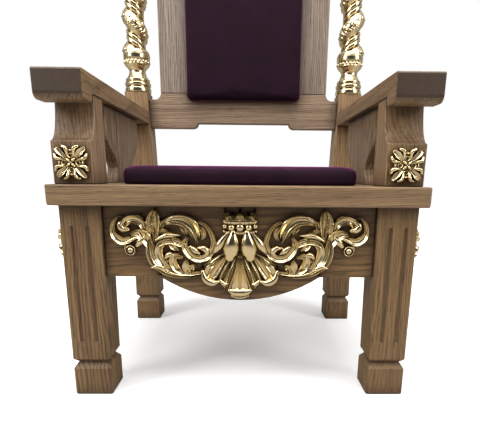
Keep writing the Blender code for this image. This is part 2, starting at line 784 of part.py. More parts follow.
MIDDLE_STROKES = {
    "crown middle petal": (((0, 156), (0, 170), (0, 185)), (6, 7, 1), 0.80),
    "fan middle lobe": (((0, 86), (0, 60), (0, 36), (0, 20)), (8, 11, 16, 20), 0.80),
    "fan foot roll": (((-22, 14), (-10, 11), (10, 11), (22, 14)), (5, 10, 10, 5), 1.0),
}
BEADS = ((0, 149, 7.5), (15, 149, 6.5), (29, 149, 5.0))
BALL = (223, 100, 10.5)


def along(values, share):
    """The value at a share of the way along a list, straight between its entries."""
    place = share * (len(values) - 1)
    index = min(int(place), len(values) - 2)
    rest = place - index
    return values[index] * (1 - rest) + values[index + 1] * rest


def spline_point(points, share):
    """A point on the smooth curve through the points (Catmull-Rom)."""
    place = share * (len(points) - 1)
    index = min(int(place), len(points) - 2)
    t = place - index
    near = [points[min(max(index + k, 0), len(points) - 1)] for k in (-1, 0, 1, 2)]
    a, b, c, d = [np.array(point, float) for point in near]
    return 0.5 * (2 * b + (c - a) * t + (2 * a - 5 * b + 4 * c - d) * t**2
                  + (3 * b - a - 3 * c + d) * t**3)


def stroke_rings(points, widths, height):
    """Rings of one carved stroke in drawn units: a low rounded ridge on a flat back."""
    steps = 5 * (len(points) - 1)
    profile = ((-1.0, 0.0), (-1.0, 0.30), (-0.6, 0.80), (0.0, 1.0), (0.6, 0.80), (1.0, 0.30), (1.0, 0.0))
    rings = []
    for i in range(steps + 1):
        share = i / steps
        here = spline_point(points, share)
        ahead = spline_point(points, min(share + 0.01, 1.0))
        behind = spline_point(points, max(share - 0.01, 0.0))
        forward = (ahead - behind) / np.linalg.norm(ahead - behind)
        across = np.array((forward[1], -forward[0]))
        half = along(widths, share)
        rise = height * min(1.0, 0.45 + half / 10)
        rings.append([(*(here + across * half * s), rise * t) for s, t in profile])
    return rings


def make_ornament():
    """The pierced acanthus relief on the front apron, carved as one piece."""
    clear = front_leg_inner(BOARD_UNDERSIDE) - ORNAMENT_SIDE_MARGIN
    low = APRON_LOW - APRON_DIP + ORNAMENT_LOW_MARGIN
    high = BOARD_UNDERSIDE - ORNAMENT_TOP_MARGIN
    wide = 2 * clear / DRAWN_WIDTH
    tall = (high - low) / DRAWN_HEIGHT
    body = bmesh.new()

    def placed(point, mirror):
        u, v, rise = point
        return Vector((mirror * u * wide, -rise * ORNAMENT_RELIEF, low + v * tall))

    def add_stroke(rings, mirror):
        rows = [[body.verts.new(placed(point, mirror)) for point in ring] for ring in rings]
        count = len(rows[0])
        for lower, upper in zip(rows, rows[1:]):
            for i in range(count):
                j = (i + 1) % count
                body.faces.new((lower[i], lower[j], upper[j], upper[i]))
        body.faces.new(rows[0][::-1])
        body.faces.new(rows[-1])

    def add_ball(u, v, radius, mirror):
        made = bmesh.ops.create_uvsphere(body, u_segments=12, v_segments=8, radius=1.0)
        for vertex in made["verts"]:
            x, y, z = vertex.co
            rise = max(0.0, 0.30 + 0.55 * y)
            vertex.co = placed((u + radius * x, v + radius * z, rise), mirror)

    for mirror in (1, -1):
        for points, widths, height in SCROLL_STROKES.values():
            add_stroke(stroke_rings(points, widths, height), mirror)
        for bead in BEADS[0 if mirror > 0 else 1:]:
            add_ball(*bead, mirror)
        add_ball(*BALL, mirror)
    for points, widths, height in MIDDLE_STROKES.values():
        add_stroke(stroke_rings(points, widths, height), 1)
    bmesh.ops.recalc_face_normals(body, faces=body.faces)
    name = "apron_ornament"
    mesh = bpy.data.meshes.new(name)
    body.to_mesh(mesh)
    body.free()
    obj = add_object(name, mesh, CHAIR, gilt(name))
    obj.location = (0.0, APRON_FACE - GAP, 0.0)
    joined = obj.modifiers.new("joined strokes", "REMESH")
    joined.mode = "VOXEL"
    joined.voxel_size = 1.6 * min(wide, tall)
    joined.use_smooth_shade = True
    fewer = obj.modifiers.new("fewer faces", "DECIMATE")
    fewer.ratio = ORNAMENT_DETAIL
    return obj


def make_seat_cushion():
    near = FRONT + CUSHION_SETBACK
    far = BACK_LEG_FACE - CUSHION_BACK_GAP
    outline = rounded_rectangle(CUSHION_WIDTH, far - near, CUSHION_CORNER)
    place = (0.0, (near + far) / 2, BOARD_TOP + GAP + CUSHION_HEIGHT / 2)
    name = "seat_cushion"
    sawn_board(name, outline, CUSHION_HEIGHT, place, LYING, velvet(name), CUSHION_ROUND, 3)


def make_back_cushion():
    top = CREST_UNDERSIDE - BACK_CUSHION_TOP_GAP
    height = top - BACK_CUSHION_LOW
    outline = rounded_rectangle(BACK_CUSHION_WIDTH, height, CUSHION_CORNER)
    thickness = BACK_CUSHION_THICKNESS
    middle = (top + BACK_CUSHION_LOW) / 2
    place = (0.0, RAIL_FACE - GAP - thickness / 2, middle)
    name = "back_cushion"
    sawn_board(name, outline, thickness, place, FACING_FRONT, velvet(name), CUSHION_ROUND, 3)


remove_everything()
CHAIR = new_collection("bishop_chair")
CUTTERS = new_collection("cutters")
CUTTER_FINISH = finish("cutter", (0.8, 0.2, 0.2), 0.5)

for word, side in SIDES:
    make_front_leg(word, side)
    make_back_leg(word, side)
    make_arm_post(word, side)
    make_arm(word, side)
    make_splat(word, side)
    make_column(word, side)
make_front_apron()
make_other_aprons()
make_seat_board()
make_back_rail()
make_back_boards()
make_crest_rail()
make_rosettes()
make_ornament()
make_seat_cushion()
make_back_cushion()
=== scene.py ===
"""Bishop chair: the looks of an oak throne with gilded carving and velvet cushions."""

import math

import bpy
import numpy as np
from mathutils import Matrix, Vector


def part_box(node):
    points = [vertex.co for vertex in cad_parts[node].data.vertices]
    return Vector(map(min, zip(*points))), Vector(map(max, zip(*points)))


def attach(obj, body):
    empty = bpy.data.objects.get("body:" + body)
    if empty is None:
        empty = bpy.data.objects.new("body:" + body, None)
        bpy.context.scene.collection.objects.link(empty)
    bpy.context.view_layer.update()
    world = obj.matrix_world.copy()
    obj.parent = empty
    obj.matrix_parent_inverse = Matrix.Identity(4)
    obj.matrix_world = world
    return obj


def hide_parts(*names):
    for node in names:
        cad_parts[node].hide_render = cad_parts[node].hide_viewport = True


bl_info = {
    "name": "Bishop chair",
    "version": (1, 0, 0),
    "blender": (4, 5, 0),
    "location": "View3D > Sidebar > Chair",
    "description": "Dresses the packed chair: waxed oak, gilded carving and velvet cushions",
    "category": "Object",
}

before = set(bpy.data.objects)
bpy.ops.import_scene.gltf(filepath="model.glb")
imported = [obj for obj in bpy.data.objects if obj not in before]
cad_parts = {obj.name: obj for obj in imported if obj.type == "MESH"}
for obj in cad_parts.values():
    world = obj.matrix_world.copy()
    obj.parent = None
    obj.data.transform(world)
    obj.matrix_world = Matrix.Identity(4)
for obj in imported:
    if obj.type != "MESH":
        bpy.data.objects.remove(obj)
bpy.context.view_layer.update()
MM = 0.001


# Settings


def colour_setting(name, description, default):
    """A colour that the user may change."""
    return bpy.props.FloatVectorProperty(
        name=name, description=description, subtype="COLOR", size=3, default=default
    )


def length_setting(name, description, default):
    """A length in metres that the user may change."""
    return bpy.props.FloatProperty(
        name=name, description=description, unit="LENGTH", default=default
    )


class OakSettings(bpy.types.PropertyGroup):
    light: colour_setting("Light wood", "Colour of the smooth summer wood", (0.330, 0.222, 0.128))
    dark: colour_setting(
        "Dark wood",
        "Colour of the porous spring wood, which takes up more stain",
        (0.092, 0.050, 0.026),
    )
    pore: colour_setting("Pores", "Colour inside the open pores", (0.030, 0.017, 0.010))
    ring_width: length_setting("Ring width", "How far apart the year rings are", 0.0060)
    wander: length_setting("Wander", "How far the year rings stray from true circles", 0.050)


class GiltSettings(bpy.types.PropertyGroup):
    gold: colour_setting("Gold", "Colour of the burnished leaf", (0.85, 0.69, 0.41))
    # Deep in the carving: thin leaf over the bole, with painted dark reflection and shade
    hollow_patina_and_shade: colour_setting(
        "Recesses", "Colour where the leaf is thin, deep in the carving", (0.17, 0.14, 0.10)
    )
    roughness: bpy.props.FloatProperty(
        name="Roughness",
        description="How dull the burnish is",
        subtype="FACTOR",
        min=0.0,
        max=1.0,
        default=0.23,
    )


class VelvetSettings(bpy.types.PropertyGroup):
    pile: colour_setting("Pile", "Colour looking into the pile", (0.012, 0.0030, 0.0085))
    brushed: colour_setting(
        "Brushed pile", "Colour where the pile lies over", (0.022, 0.0055, 0.016)
    )
    # A painted sheen: the base colour turns to this where the surface turns away from the view
    painted_sheen: colour_setting(
        "Lit pile", "Colour of the tips, seen where the pile turns away", (0.24, 0.035, 0.17)
    )
    sheen: colour_setting("Sheen", "Colour of the light that grazes the pile", (0.85, 0.20, 0.64))


class ColumnSettings(bpy.types.PropertyGroup):
    pitch: length_setting("Pitch", "Rise of the twist in one turn", 0.091)
    body: length_setting("Body radius", "Mean radius of the twisted shaft", 0.0285)
    swell: length_setting(
        "Swell", "How far the garland swings out from the column's middle", 0.0080
    )
    strand: length_setting("Strand radius", "Reach of the two thin strands", 0.0265)


class CushionSettings(bpy.types.PropertyGroup):
    pressure: bpy.props.FloatProperty(
        name="Pressure",
        description="Pressure of the filling while the cover is simulated",
        default=4.0,
    )
    swell: length_setting(
        "Most swell", "Furthest that the filling may push the cover out", 0.006
    )
    voxel: length_setting(
        "Mesh size", "Size of the cover's mesh while it is simulated", 0.0055
    )


class StageSettings(bpy.types.PropertyGroup):
    camera_place: bpy.props.FloatVectorProperty(
        name="Camera place",
        description="Where the photograph was taken from",
        subtype="TRANSLATION",
        size=3,
        default=(0.017, -1.071, 0.471),
    )
    camera_turn: bpy.props.FloatVectorProperty(
        name="Camera turn",
        description="Turn to the left, tilt down and roll of the camera, in degrees",
        size=3,
        default=(-0.84, 12.85, 0.49),
    )
    lens: bpy.props.FloatProperty(
        name="Lens", description="Focal length in millimetres", default=30.0
    )
    shift: bpy.props.FloatVectorProperty(
        name="Shift",
        description="Lens shift that gives the photograph's framing",
        size=2,
        default=(-0.029, 0.110),
    )


# Meshes from arrays


def ring_quads(rings, columns, wrapped=False):
    """Quads between rings of points, each ring closed all the way round. Where they
    are wrapped, the last ring is joined to the first one too."""
    last = rings if wrapped else rings - 1
    row, column = np.meshgrid(np.arange(last), np.arange(columns), indexing="ij")
    here, after = row * columns, (row + 1) % rings * columns
    beside = (column + 1) % columns
    corners = (here + column, here + beside, after + beside, after + column)
    return np.stack(corners, -1).reshape(-1, 4)


def turned_out(points, quads, triangles):
    """The shell with its faces outwards, where the volume they enclose is positive."""
    halves = np.concatenate([quads[:, [0, 1, 2]], quads[:, [0, 2, 3]], triangles])
    a, b, c = (points[halves[:, k]] for k in range(3))
    if np.einsum("ij,ij->i", a, np.cross(b, c)).sum() < 0:
        return points, quads[:, ::-1], triangles[:, ::-1]
    return points, quads, triangles


def closed_tube(rings):
    """A closed shell through rings of points, an array (rows, columns, 3). A point in
    the middle of the first and of the last ring closes the ends."""
    rows, columns, _ = rings.shape
    points = np.concatenate([rings.reshape(-1, 3), rings[:1].mean(1), rings[-1:].mean(1)])
    around = np.arange(columns)
    after = (around + 1) % columns
    top = (rows - 1) * columns
    low = np.stack([np.full(columns, rows * columns), after, around], -1)
    high = np.stack([np.full(columns, rows * columns + 1), top + around, top + after], -1)
    return turned_out(points, ring_quads(rows, columns), np.concatenate([low, high]))


def closed_ring(rings):
    """A closed shell whose rings run round in a circle, an array (rows, columns, 3)."""
    rows, columns, _ = rings.shape
    return turned_out(
        rings.reshape(-1, 3), ring_quads(rows, columns, True), np.zeros((0, 3), int)
    )


def mirrored(shape):
    """The same shell on the other side of the chair, still facing outwards."""
    points, quads, triangles = shape
    return points * np.array((-1.0, 1.0, 1.0)), quads[:, ::-1], triangles[:, ::-1]


def add_piece(name, shapes, material, node, sharp):
    """One object of one or more closed shells, which stands for a CAD node. Edges
    above the sharp angle, in degrees, stay crisp."""
    points, faces, count = [], [], 0
    for shape_points, quads, triangles in shapes:
        points.append(shape_points)
        faces += (quads + count).tolist() + (triangles + count).tolist()
        count += len(shape_points)
    mesh = bpy.data.meshes.new(name)
    mesh.from_pydata(np.concatenate(points).tolist(), [], faces)
    mesh.materials.append(material)
    mesh.shade_smooth()
    mesh.set_sharp_from_angle(angle=math.radians(sharp))
    piece = bpy.data.objects.new(name, mesh)
    bpy.context.scene.collection.objects.link(piece)
    placed(piece, node)


def placed(piece, node):
    """Hangs a piece on the frame in the place of its CAD node."""
    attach(piece, "root")
    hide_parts(node)


def laid_on(origin, across, upward, outward):
    """A function that takes points in mm, as (u, v, height), to the face of a board."""
    axes = np.array((across, upward, outward), float)
    return lambda points: np.array(origin) + (points * MM) @ axes


def round_angles(count):
    """Angles spread evenly over a full turn."""
    return np.linspace(0, 2 * np.pi, count, endpoint=False)


def ramp(low, high, value):
    """0 below low, 1 above high and a smooth S between them."""
    share = np.clip((value - low) / (high - low), 0.0, 1.0)
    return share * share * (3 - 2 * share)


def dome(share, power=2):
    """1 in the middle and 0 from a share of 1 on: a half circle, or fuller than one
    where the power is higher."""
    return np.sqrt(np.clip(1 - np.abs(share) ** power, 0, 1))


def bell(distance):
    """1 at 0, and falling off on both sides as e to the minus square."""
    return np.exp(-(distance**2))


def walled(rings):
    """Rings with one more at the end, straight below the last one on the ground."""
    wall = rings[-1:].copy()
    wall[..., 2] = 0.0
    return np.concatenate([rings, wall])


def smooth_line(knots, share):
    """Points on the smooth curve through the knots, by Catmull and Rom's rule:
    each stretch is a cubic that leaves a knot along the line between its neighbours."""
    knots = np.asarray(knots, float)
    if knots.ndim == 1:
        knots = knots[:, None]
    padded = np.concatenate([2 * knots[:1] - knots[1:2], knots, 2 * knots[-1:] - knots[-2:-1]])
    place = share * (len(knots) - 1)
    index = np.minimum(place.astype(int), len(knots) - 2)
    t = (place - index)[:, None]
    a, b, c, d = (padded[index + k] for k in range(4))
    return 0.5 * (2 * b + (c - a) * t + (2 * a - 5 * b + 4 * c - d) * t**2
                  + (3 * b - a - 3 * c + d) * t**3)


# Materials


def set_inputs(tree, node, inputs):
    """Gives a shader node its inputs, as values or as sockets to link."""
    for key, value in inputs.items():
        if isinstance(value, bpy.types.NodeSocket):
            tree.links.new(value, node.inputs[key])
        else:
            node.inputs[key].default_value = value


def add_node(tree, kind, inputs, **settings):
    """A new shader node with its settings, then its inputs."""
    made = tree.nodes.new(kind)
    for key, value in settings.items():
        setattr(made, key, value)
    set_inputs(tree, made, inputs)
    return made


def math_node(tree, operation, first, second=0.0, third=0.0, clamp=False):
    """The result of a sum, a product or the like."""
    inputs = {0: first, 1: second, 2: third}
    return add_node(tree, "ShaderNodeMath", inputs, operation=operation, use_clamp=clamp).outputs[0]


def vector_math(tree, operation, first, second=(0.0, 0.0, 0.0)):
    """The outputs of a sum, a product or the like of vectors."""
    return add_node(tree, "ShaderNodeVectorMath", {0: first, 1: second}, operation=operation).outputs


def map_range(tree, value, low, high, first=0.0, last=1.0):
    """A value stretched so that low becomes first and high last, and held between them."""
    inputs = {"Value": value, "From Min": low, "From Max": high, "To Min": first, "To Max": last}
    return add_node(tree, "ShaderNodeMapRange", inputs).outputs[0]


def noise(tree, vector, scale, detail, roughness=0.5):
    """Cloudy noise between 0 and 1."""
    inputs = {"Vector": vector, "Scale": scale, "Detail": detail, "Roughness": roughness}
    return add_node(tree, "ShaderNodeTexNoise", inputs).outputs["Fac"]


def openness(tree, distance, samples):
    """1 where nothing is near, and less in a corner or a hollow, up to the distance."""
    inputs = {"Distance": distance}
    return add_node(tree, "ShaderNodeAmbientOcclusion", inputs, samples=samples).outputs["AO"]


def bump(tree, height, strength, distance):
    """The surface's normal, tilted by a height."""
    inputs = {"Height": height, "Strength": strength, "Distance": distance}
    return add_node(tree, "ShaderNodeBump", inputs).outputs["Normal"]


def mixed(tree, factor, first, second):
    """Two colours mixed by a factor."""
    first, second = (
        value if isinstance(value, bpy.types.NodeSocket) else (*value[:3], 1.0)
        for value in (first, second)
    )
    # Sockets 6 and 7 and output 2 are the ones for colours
    inputs = {"Factor": factor, 6: first, 7: second}
    return add_node(tree, "ShaderNodeMix", inputs, data_type="RGBA").outputs[2]


def new_material(name):
    """A new material with its node tree, its shader and its Object coordinates."""
    material = bpy.data.materials.new(name)
    material.use_nodes = True
    tree = material.node_tree
    place = tree.nodes.new("ShaderNodeTexCoord").outputs["Object"]
    return material, tree, tree.nodes["Principled BSDF"], place


def new_group(name, inputs, outputs):
    """An empty shader group with the named sockets of each kind, what it is given and
    its output node."""
    tree = bpy.data.node_groups.new(name, "ShaderNodeTree")
    for way, sockets in (("INPUT", inputs), ("OUTPUT", outputs)):
        for label, kind in sockets.items():
            tree.interface.new_socket(label, in_out=way, socket_type="NodeSocket" + kind)
    return tree, tree.nodes.new("NodeGroupInput").outputs, tree.nodes.new("NodeGroupOutput")


# Darkness across a year ring as (share of its width, darkness), and at both its edges
RING_LEVELS = ((0.10, 1.0), (0.30, 0.8), (0.52, 0.10), (0.90, 0.0))
RING_EDGE = 0.3


def oak_grain():
    """Grain of oak whose trunk ran along Z: year rings round the Z axis, streaks and
    open pores drawn out along it, and dark end grain where a face looks along it."""
    found = bpy.data.node_groups.get("oak grain")
    if found:
        return found
    tree, given, out = new_group(
        "oak grain",
        {
            "Vector": "Vector",
            "Light": "Color",
            "Dark": "Color",
            "Pore": "Color",
            "Ring width": "Float",
            "Ring strength": "Float",
            "Wander": "Float",
            "End grain": "Float",
        },
        {"Color": "Color", "Roughness": "Float", "Height": "Float"},
    )

    def drawn_out(across, along, detail, roughness=0.5):
        """Noise with one scale across the trunk and another along it."""
        scaled = vector_math(tree, "MULTIPLY", given["Vector"], (across, across, along))[0]
        return noise(tree, scaled, 1.0, detail, roughness)

    wander = math_node(tree, "SUBTRACT", drawn_out(9.0, 2.2, 3.0), 0.5)
    flat = vector_math(tree, "MULTIPLY", given["Vector"], (1.0, 1.0, 0.0))[0]
    distance = vector_math(tree, "LENGTH", flat)["Value"]
    shifted = math_node(tree, "MULTIPLY_ADD", wander, given["Wander"], distance)
    turns = math_node(tree, "DIVIDE", shifted, given["Ring width"])
    ring = add_node(tree, "ShaderNodeValToRGB", {"Fac": math_node(tree, "FRACT", turns)})
    levels = ring.color_ramp.elements
    for edge in levels:
        edge.color = (RING_EDGE, RING_EDGE, RING_EDGE, 1.0)
    for position, level in RING_LEVELS:
        levels.new(position).color = (level, level, level, 1.0)
    ring_mask = math_node(tree, "MULTIPLY", ring.outputs["Color"], given["Ring strength"])

    streak = map_range(tree, drawn_out(170.0, 4.0, 3.0, 0.60), 0.38, 0.62)
    broad = map_range(tree, drawn_out(38.0, 1.6, 2.0), 0.36, 0.64)
    pores = map_range(tree, drawn_out(820.0, 30.0, 2.0), 0.54, 0.66)
    # The pores crowd where a ring is dark
    crowd = math_node(tree, "MULTIPLY_ADD", ring.outputs["Color"], 0.55, 0.45)
    pores = math_node(tree, "MULTIPLY", pores, crowd, clamp=True)

    # Rings, streaks and broad bands add up to the darkness between the two woods
    darkness = math_node(tree, "MULTIPLY_ADD", streak, 0.46, ring_mask)
    darkness = math_node(tree, "MULTIPLY_ADD", broad, 0.26, darkness)
    darkness = math_node(tree, "MULTIPLY", darkness, 0.86, clamp=True)
    colour = mixed(tree, darkness, given["Light"], given["Dark"])
    colour = mixed(tree, math_node(tree, "MULTIPLY", pores, 0.75), colour, given["Pore"])
    end = math_node(tree, "MULTIPLY", given["End grain"], 0.90)
    colour = mixed(tree, end, colour, mixed(tree, 0.85, given["Dark"], given["Pore"]))
    # Pores and streaks are duller and lie deeper
    rough = math_node(tree, "MULTIPLY_ADD", pores, 0.22, 0.46)
    rough = math_node(tree, "MULTIPLY_ADD", streak, 0.08, rough)
    height = math_node(tree, "MULTIPLY", pores, -1.0)
    height = math_node(tree, "MULTIPLY_ADD", streak, -0.35, height)
    set_inputs(tree, out, {"Color": colour, "Roughness": rough, "Height": height})
    return tree


# For each run of the grain: the turn that lays it along Z, and its own axis
GRAIN_TURNS = {
    "up": (0.0, 0.0, 0.0),
    "across": (0.0, math.radians(-90), 0.0),
    "deep": (math.radians(90), 0.0, 0.0),
}
GRAIN_AXES = {"up": (0.0, 0.0, 1.0), "across": (1.0, 0.0, 0.0), "deep": (0.0, 1.0, 0.0)}
# How far each board is sawn askew to its trunk, in radians
GRAIN_LEAN = 0.03
# Reach of the painted shade in the oak's corners, under the seat board and in the flutes, and of the
# gilding's hollows, where the leaf is thin and painted dark reflection and shade fall
PAINTED_SHADE_REACH = (0.035, 0.008)
GILT_HOLLOWS = 0.006


def waxed_oak(name, grain, heart, tone_and_light, rings, warmth, spacing):
    """Stained and waxed oak, with painted shade that darkens its corners, the places under other parts and
    its grooves. heart is how far the tree's middle lay from the chair's origin, in the grain's own frame, so
    that each board is cut from its own place."""
    settings = bpy.context.scene.chair_oak
    material, tree, shader, place = new_material(name)
    turn = GRAIN_TURNS[grain]
    turn = (turn[0] + GRAIN_LEAN, turn[1] + GRAIN_LEAN, turn[2])
    mapping = add_node(
        tree, "ShaderNodeMapping", {"Vector": place, "Location": heart, "Rotation": turn}
    )
    normal = tree.nodes.new("ShaderNodeNewGeometry").outputs["Normal"]
    facing = vector_math(tree, "DOT_PRODUCT", normal, GRAIN_AXES[grain])["Value"]
    # Warmth adds some red, takes off a little green and takes off most blue
    tint = (1 + 0.25 * warmth, 1 - 0.14 * warmth, 1 - warmth)
    # The tone is the board's own shade together with painted light, higher for boards up and at the back
    light, dark = (
        [channel * tone_and_light * share for channel, share in zip(wood, tint)]
        for wood in (settings.light, settings.dark)
    )
    wood = add_node(
        tree,
        "ShaderNodeGroup",
        {
            "Vector": mapping.outputs["Vector"],
            "Light": (*light, 1.0),
            "Dark": (*dark, 1.0),
            "Pore": (*settings.pore, 1.0),
            "Ring width": settings.ring_width * spacing,
            "Ring strength": rings,
            "Wander": settings.wander * spacing,
            "End grain": map_range(tree, math_node(tree, "ABSOLUTE", facing), 0.75, 0.97),
        },
        node_tree=oak_grain(),
    ).outputs
    # Painted shade: the colour goes towards a darker one in corners, under the seat board and in the flutes
    wide, fine = (openness(tree, size, 3) for size in PAINTED_SHADE_REACH)
    corner = map_range(tree, math_node(tree, "MULTIPLY", wide, fine), 0.90, 0.40, last=0.80)
    painted_shade_colour = [channel * 0.55 for channel in dark]
    set_inputs(tree, shader, {
        "Base Color": mixed(tree, corner, wood["Color"], painted_shade_colour),
        "Roughness": wood["Roughness"],
        "Normal": bump(tree, wood["Height"], strength=0.35, distance=0.0004),
        "Coat Weight": 0.12,
        "Coat Roughness": 0.35,
    })
    return material


def gilding(name, gouge_scale):
    """Burnished gold leaf: bright on the tops, and deep in the carving thinner leaf over the bole, darkened
    further by painted dark reflection and shade, over a surface that still shows the gouge."""
    settings = bpy.context.scene.chair_gilt
    material, tree, shader, place = new_material(name)
    # Painted dark reflection and shade, with thin leaf: the hollows take the recess colour
    top = map_range(tree, openness(tree, GILT_HOLLOWS, 6), 0.25, 0.80)
    cloud = noise(tree, place, 70.0, 3.0)
    gouge = noise(tree, place, gouge_scale, 1.0)
    duller = [channel * 0.78 for channel in settings.gold]
    gold = mixed(tree, math_node(tree, "MULTIPLY", cloud, 0.22), settings.gold, duller)
    set_inputs(tree, shader, {
        "Base Color": mixed(tree, top, settings.hollow_patina_and_shade, gold),
        "Roughness": math_node(tree, "MULTIPLY_ADD", cloud, 0.10, settings.roughness - 0.05),
        "Normal": bump(tree, gouge, strength=0.14, distance=0.0006),
        "Metallic": 1.0,
    })
    return material


def velvet(name):
    """Dark cut velvet: short pile, clouds where it was brushed, a painted magenta sheen in the base colour
    where the surface turns away from the view, and the shader's own magenta sheen at a grazing angle."""
    settings = bpy.context.scene.chair_velvet
    material, tree, shader, place = new_material(name)
    brushed = map_range(tree, noise(tree, place, 14.0, 4.0, 0.6), 0.38, 0.66)
    tufts = noise(tree, place, 1400.0, 2.0)
    share = math_node(tree, "MULTIPLY_ADD", tufts, 0.45, math_node(tree, "MULTIPLY", brushed, 0.55))
    pile = mixed(tree, share, settings.pile, settings.brushed)
    # Painted sheen: the base colour grows towards the sheen colour at a grazing angle
    turned = add_node(tree, "ShaderNodeLayerWeight", {"Blend": 0.35}).outputs["Facing"]
    grazing = math_node(tree, "POWER", turned, 3.0)
    set_inputs(tree, shader, {
        "Base Color": mixed(tree, grazing, pile, settings.painted_sheen),
        "Normal": bump(tree, tufts, strength=0.5, distance=0.0006),
        "Roughness": 0.85,
        "Specular IOR Level": 0.15,
        "Sheen Weight": 0.80,
        "Sheen Roughness": 0.22,
        "Sheen Tint": (*settings.sheen, 1.0),
    })
    return material


# Oak boards, which keep the CAD's own solids

# For each board: the run of its grain, where the tree's middle lay, its tone, how strongly its rings show,
# its warmth and how wide its rings are against the others. Tone and warmth hold the board's own shade and
# also painted light: the back and upper boards are lighter, and the stiles greyer, where more light falls,
# while the front legs and apron are darker.
BOARDS = {
    "front_leg_left": ("up", (0.47, 0.33, 0.0), 0.92, 0.52, 0.28, 1.3),
    "front_leg_right": ("up", (-0.25, 0.35, 0.4), 0.94, 0.28, 0.30, 0.7),
    "back_leg_left": ("up", (0.44, -0.16, 0.9), 1.28, 0.28, 0.20, 0.8),
    "back_leg_right": ("up", (-0.26, -0.17, 0.2), 1.22, 0.28, 0.22, 0.8),
    "front_apron": ("across", (-0.33, 0.36, 0.1), 0.84, 0.44, 0.36, 2.3),
    "back_apron": ("across", (-0.28, -0.33, 0.6), 0.95, 0.6, 0.10, 1.5),
    "side_apron_left": ("deep", (0.42, 0.29, 0.3), 0.95, 0.6, 0.10, 1.5),
    "side_apron_right": ("deep", (-0.27, 0.31, 0.7), 0.95, 0.6, 0.10, 1.5),
    "seat_board": ("across", (-0.62, 0.37, 0.5), 1.10, 0.26, 0.12, 0.6),
    "arm_post_left": ("up", (0.45, 0.34, 0.3), 1.15, 0.40, 0.10, 1.0),
    "arm_post_right": ("up", (-0.24, 0.36, 0.8), 1.04, 0.40, 0.20, 1.0),
    "arm_left": ("deep", (0.45, 0.70, 0.2), 1.05, 0.40, 0.10, 1.0),
    "arm_right": ("deep", (-0.25, 0.72, 0.9), 1.05, 0.40, 0.10, 1.0),
    "side_splat_left": ("up", (0.39, 0.10, 0.1), 0.95, 0.55, 0.14, 1.2),
    "side_splat_right": ("up", (-0.22, 0.12, 0.5), 0.95, 0.55, 0.14, 1.2),
    "back_rail": ("across", (-0.70, -0.14, 0.4), 1.40, 0.38, -0.14, 1.0),
    "back_stile_left": ("up", (0.31, -0.13, 0.7), 1.50, 0.42, -0.46, 0.8),
    "back_stile_right": ("up", (-0.12, -0.15, 0.1), 1.30, 0.42, -0.40, 0.8),
    "back_panel": ("up", (0.06, -0.17, 0.3), 1.1, 0.5, 0.0, 1.2),
    "crest_rail": ("across", (-1.22, -0.11, 0.2), 1.1, 0.50, 0.0, 1.0),
}


class CHAIR_OT_oak(bpy.types.Operator):
    """Gives each board of the frame its own cut of waxed oak"""

    bl_idname = "chair.oak"
    bl_label = "Oak boards"

    def execute(self, context):
        for name, cut in BOARDS.items():
            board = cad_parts[name]
            board.data.materials.clear()
            board.data.materials.append(waxed_oak("oak " + name, *cut))
        return {"FINISHED"}


# Gilded columns, in mm and radians

# Turned bands of the foot as height of the middle, half height, inner and outer radius
FOOT_BANDS = (
    (7.6, 7.6, 35.8, 38.5),
    (24.5, 5.2, 34.8, 38.4),
    (35.6, 4.6, 33.0, 35.6),
)
# Outline of the foot, its neck and its cup, as height and radius
NECK_PROFILE = (
    (0.0, 34.0), (40.0, 33.0), (44.0, 30.2), (50.0, 26.6), (57.0, 24.4), (62.0, 24.0), (67.0, 25.6),
    (71.0, 28.6), (75.0, 32.8), (78.5, 36.0), (81.0, 36.6), (83.0, 35.4), (89.0, 35.4), (91.0, 37.4),
    (96.0, 38.8), (105.0, 39.2), (113.0, 37.4), (119.0, 33.6), (123.0, 27.0), (125.0, 20.0), (140.0, 20.0),
)
FOOT_RISE = 125.0
# Row of beads: their count, height, the circle they stand on, their reach and relief
BEAD_COUNT = 20
BEAD_HEIGHT = 86.0
BEAD_CIRCLE = 38.0
BEAD_REACH = 4.1
BEAD_RELIEF = 4.0
# The cup's mouth, how far the shaft runs on down into it, and where the twist starts
CUP_TOP = 112.0
CUP_DEPTH = 6.0
TWIST_START = 122.0
# The shaft spreads by a share of its radius over this rise at both cups
SPREAD_RISE = 30.0
SPREAD_SHARE = 0.09
# The groove's radius, the angles at which the garland falls off into it, and half the
# angle of each strand in it
GROOVE_RADIUS = 18.0
GARLAND_EDGE = (2.05, 1.75)
STRAND_ANGLE = 0.50
# Rows of points up the foot, the shaft and the top, and points round the column
COLUMN_ROWS = (150, 230, 100)
COLUMN_POINTS = 160


def foot_radius(rise, angle):
    """Radius of the turned foot: a profile through given points, round bands laid
    over it as half ellipses, and a row of beads as small domes round the cup."""
    profile = np.array(NECK_PROFILE)
    radius = np.interp(rise, profile[:, 0], profile[:, 1])
    for middle, half, inner, outer in FOOT_BANDS:
        share = np.clip(np.abs(rise - middle) / half, 0, 1)
        band = inner + (outer - inner) * dome(share, 4)
        radius = np.where(np.abs(rise - middle) < half, np.maximum(radius, band), radius)
    around = (angle * BEAD_COUNT / (2 * np.pi)) % 1.0 - 0.5
    aside = around * 2 * np.pi * BEAD_CIRCLE / BEAD_COUNT
    away = np.hypot(aside, rise - BEAD_HEIGHT)
    return radius + BEAD_RELIEF * dome(away / BEAD_REACH)


# Size of the garland against the drawing below, the length of one repeat in it and
# how far the ground between its leaves is sunk
GARLAND_SIZE = 0.75
GARLAND_REPEAT = 27.0
GARLAND_SUNK = 1.6
PETAL_REACH = 8.6
LEAF_WIDTH = 4.6
# Leaves of one side: place along the repeat, lean, length and distance from the middle
GARLAND_LEAVES = ((0.5, 0.75, 12.0, 9.0), (0.12, 1.05, 9.5, 15.0), (0.80, 0.60, 9.0, 17.0))


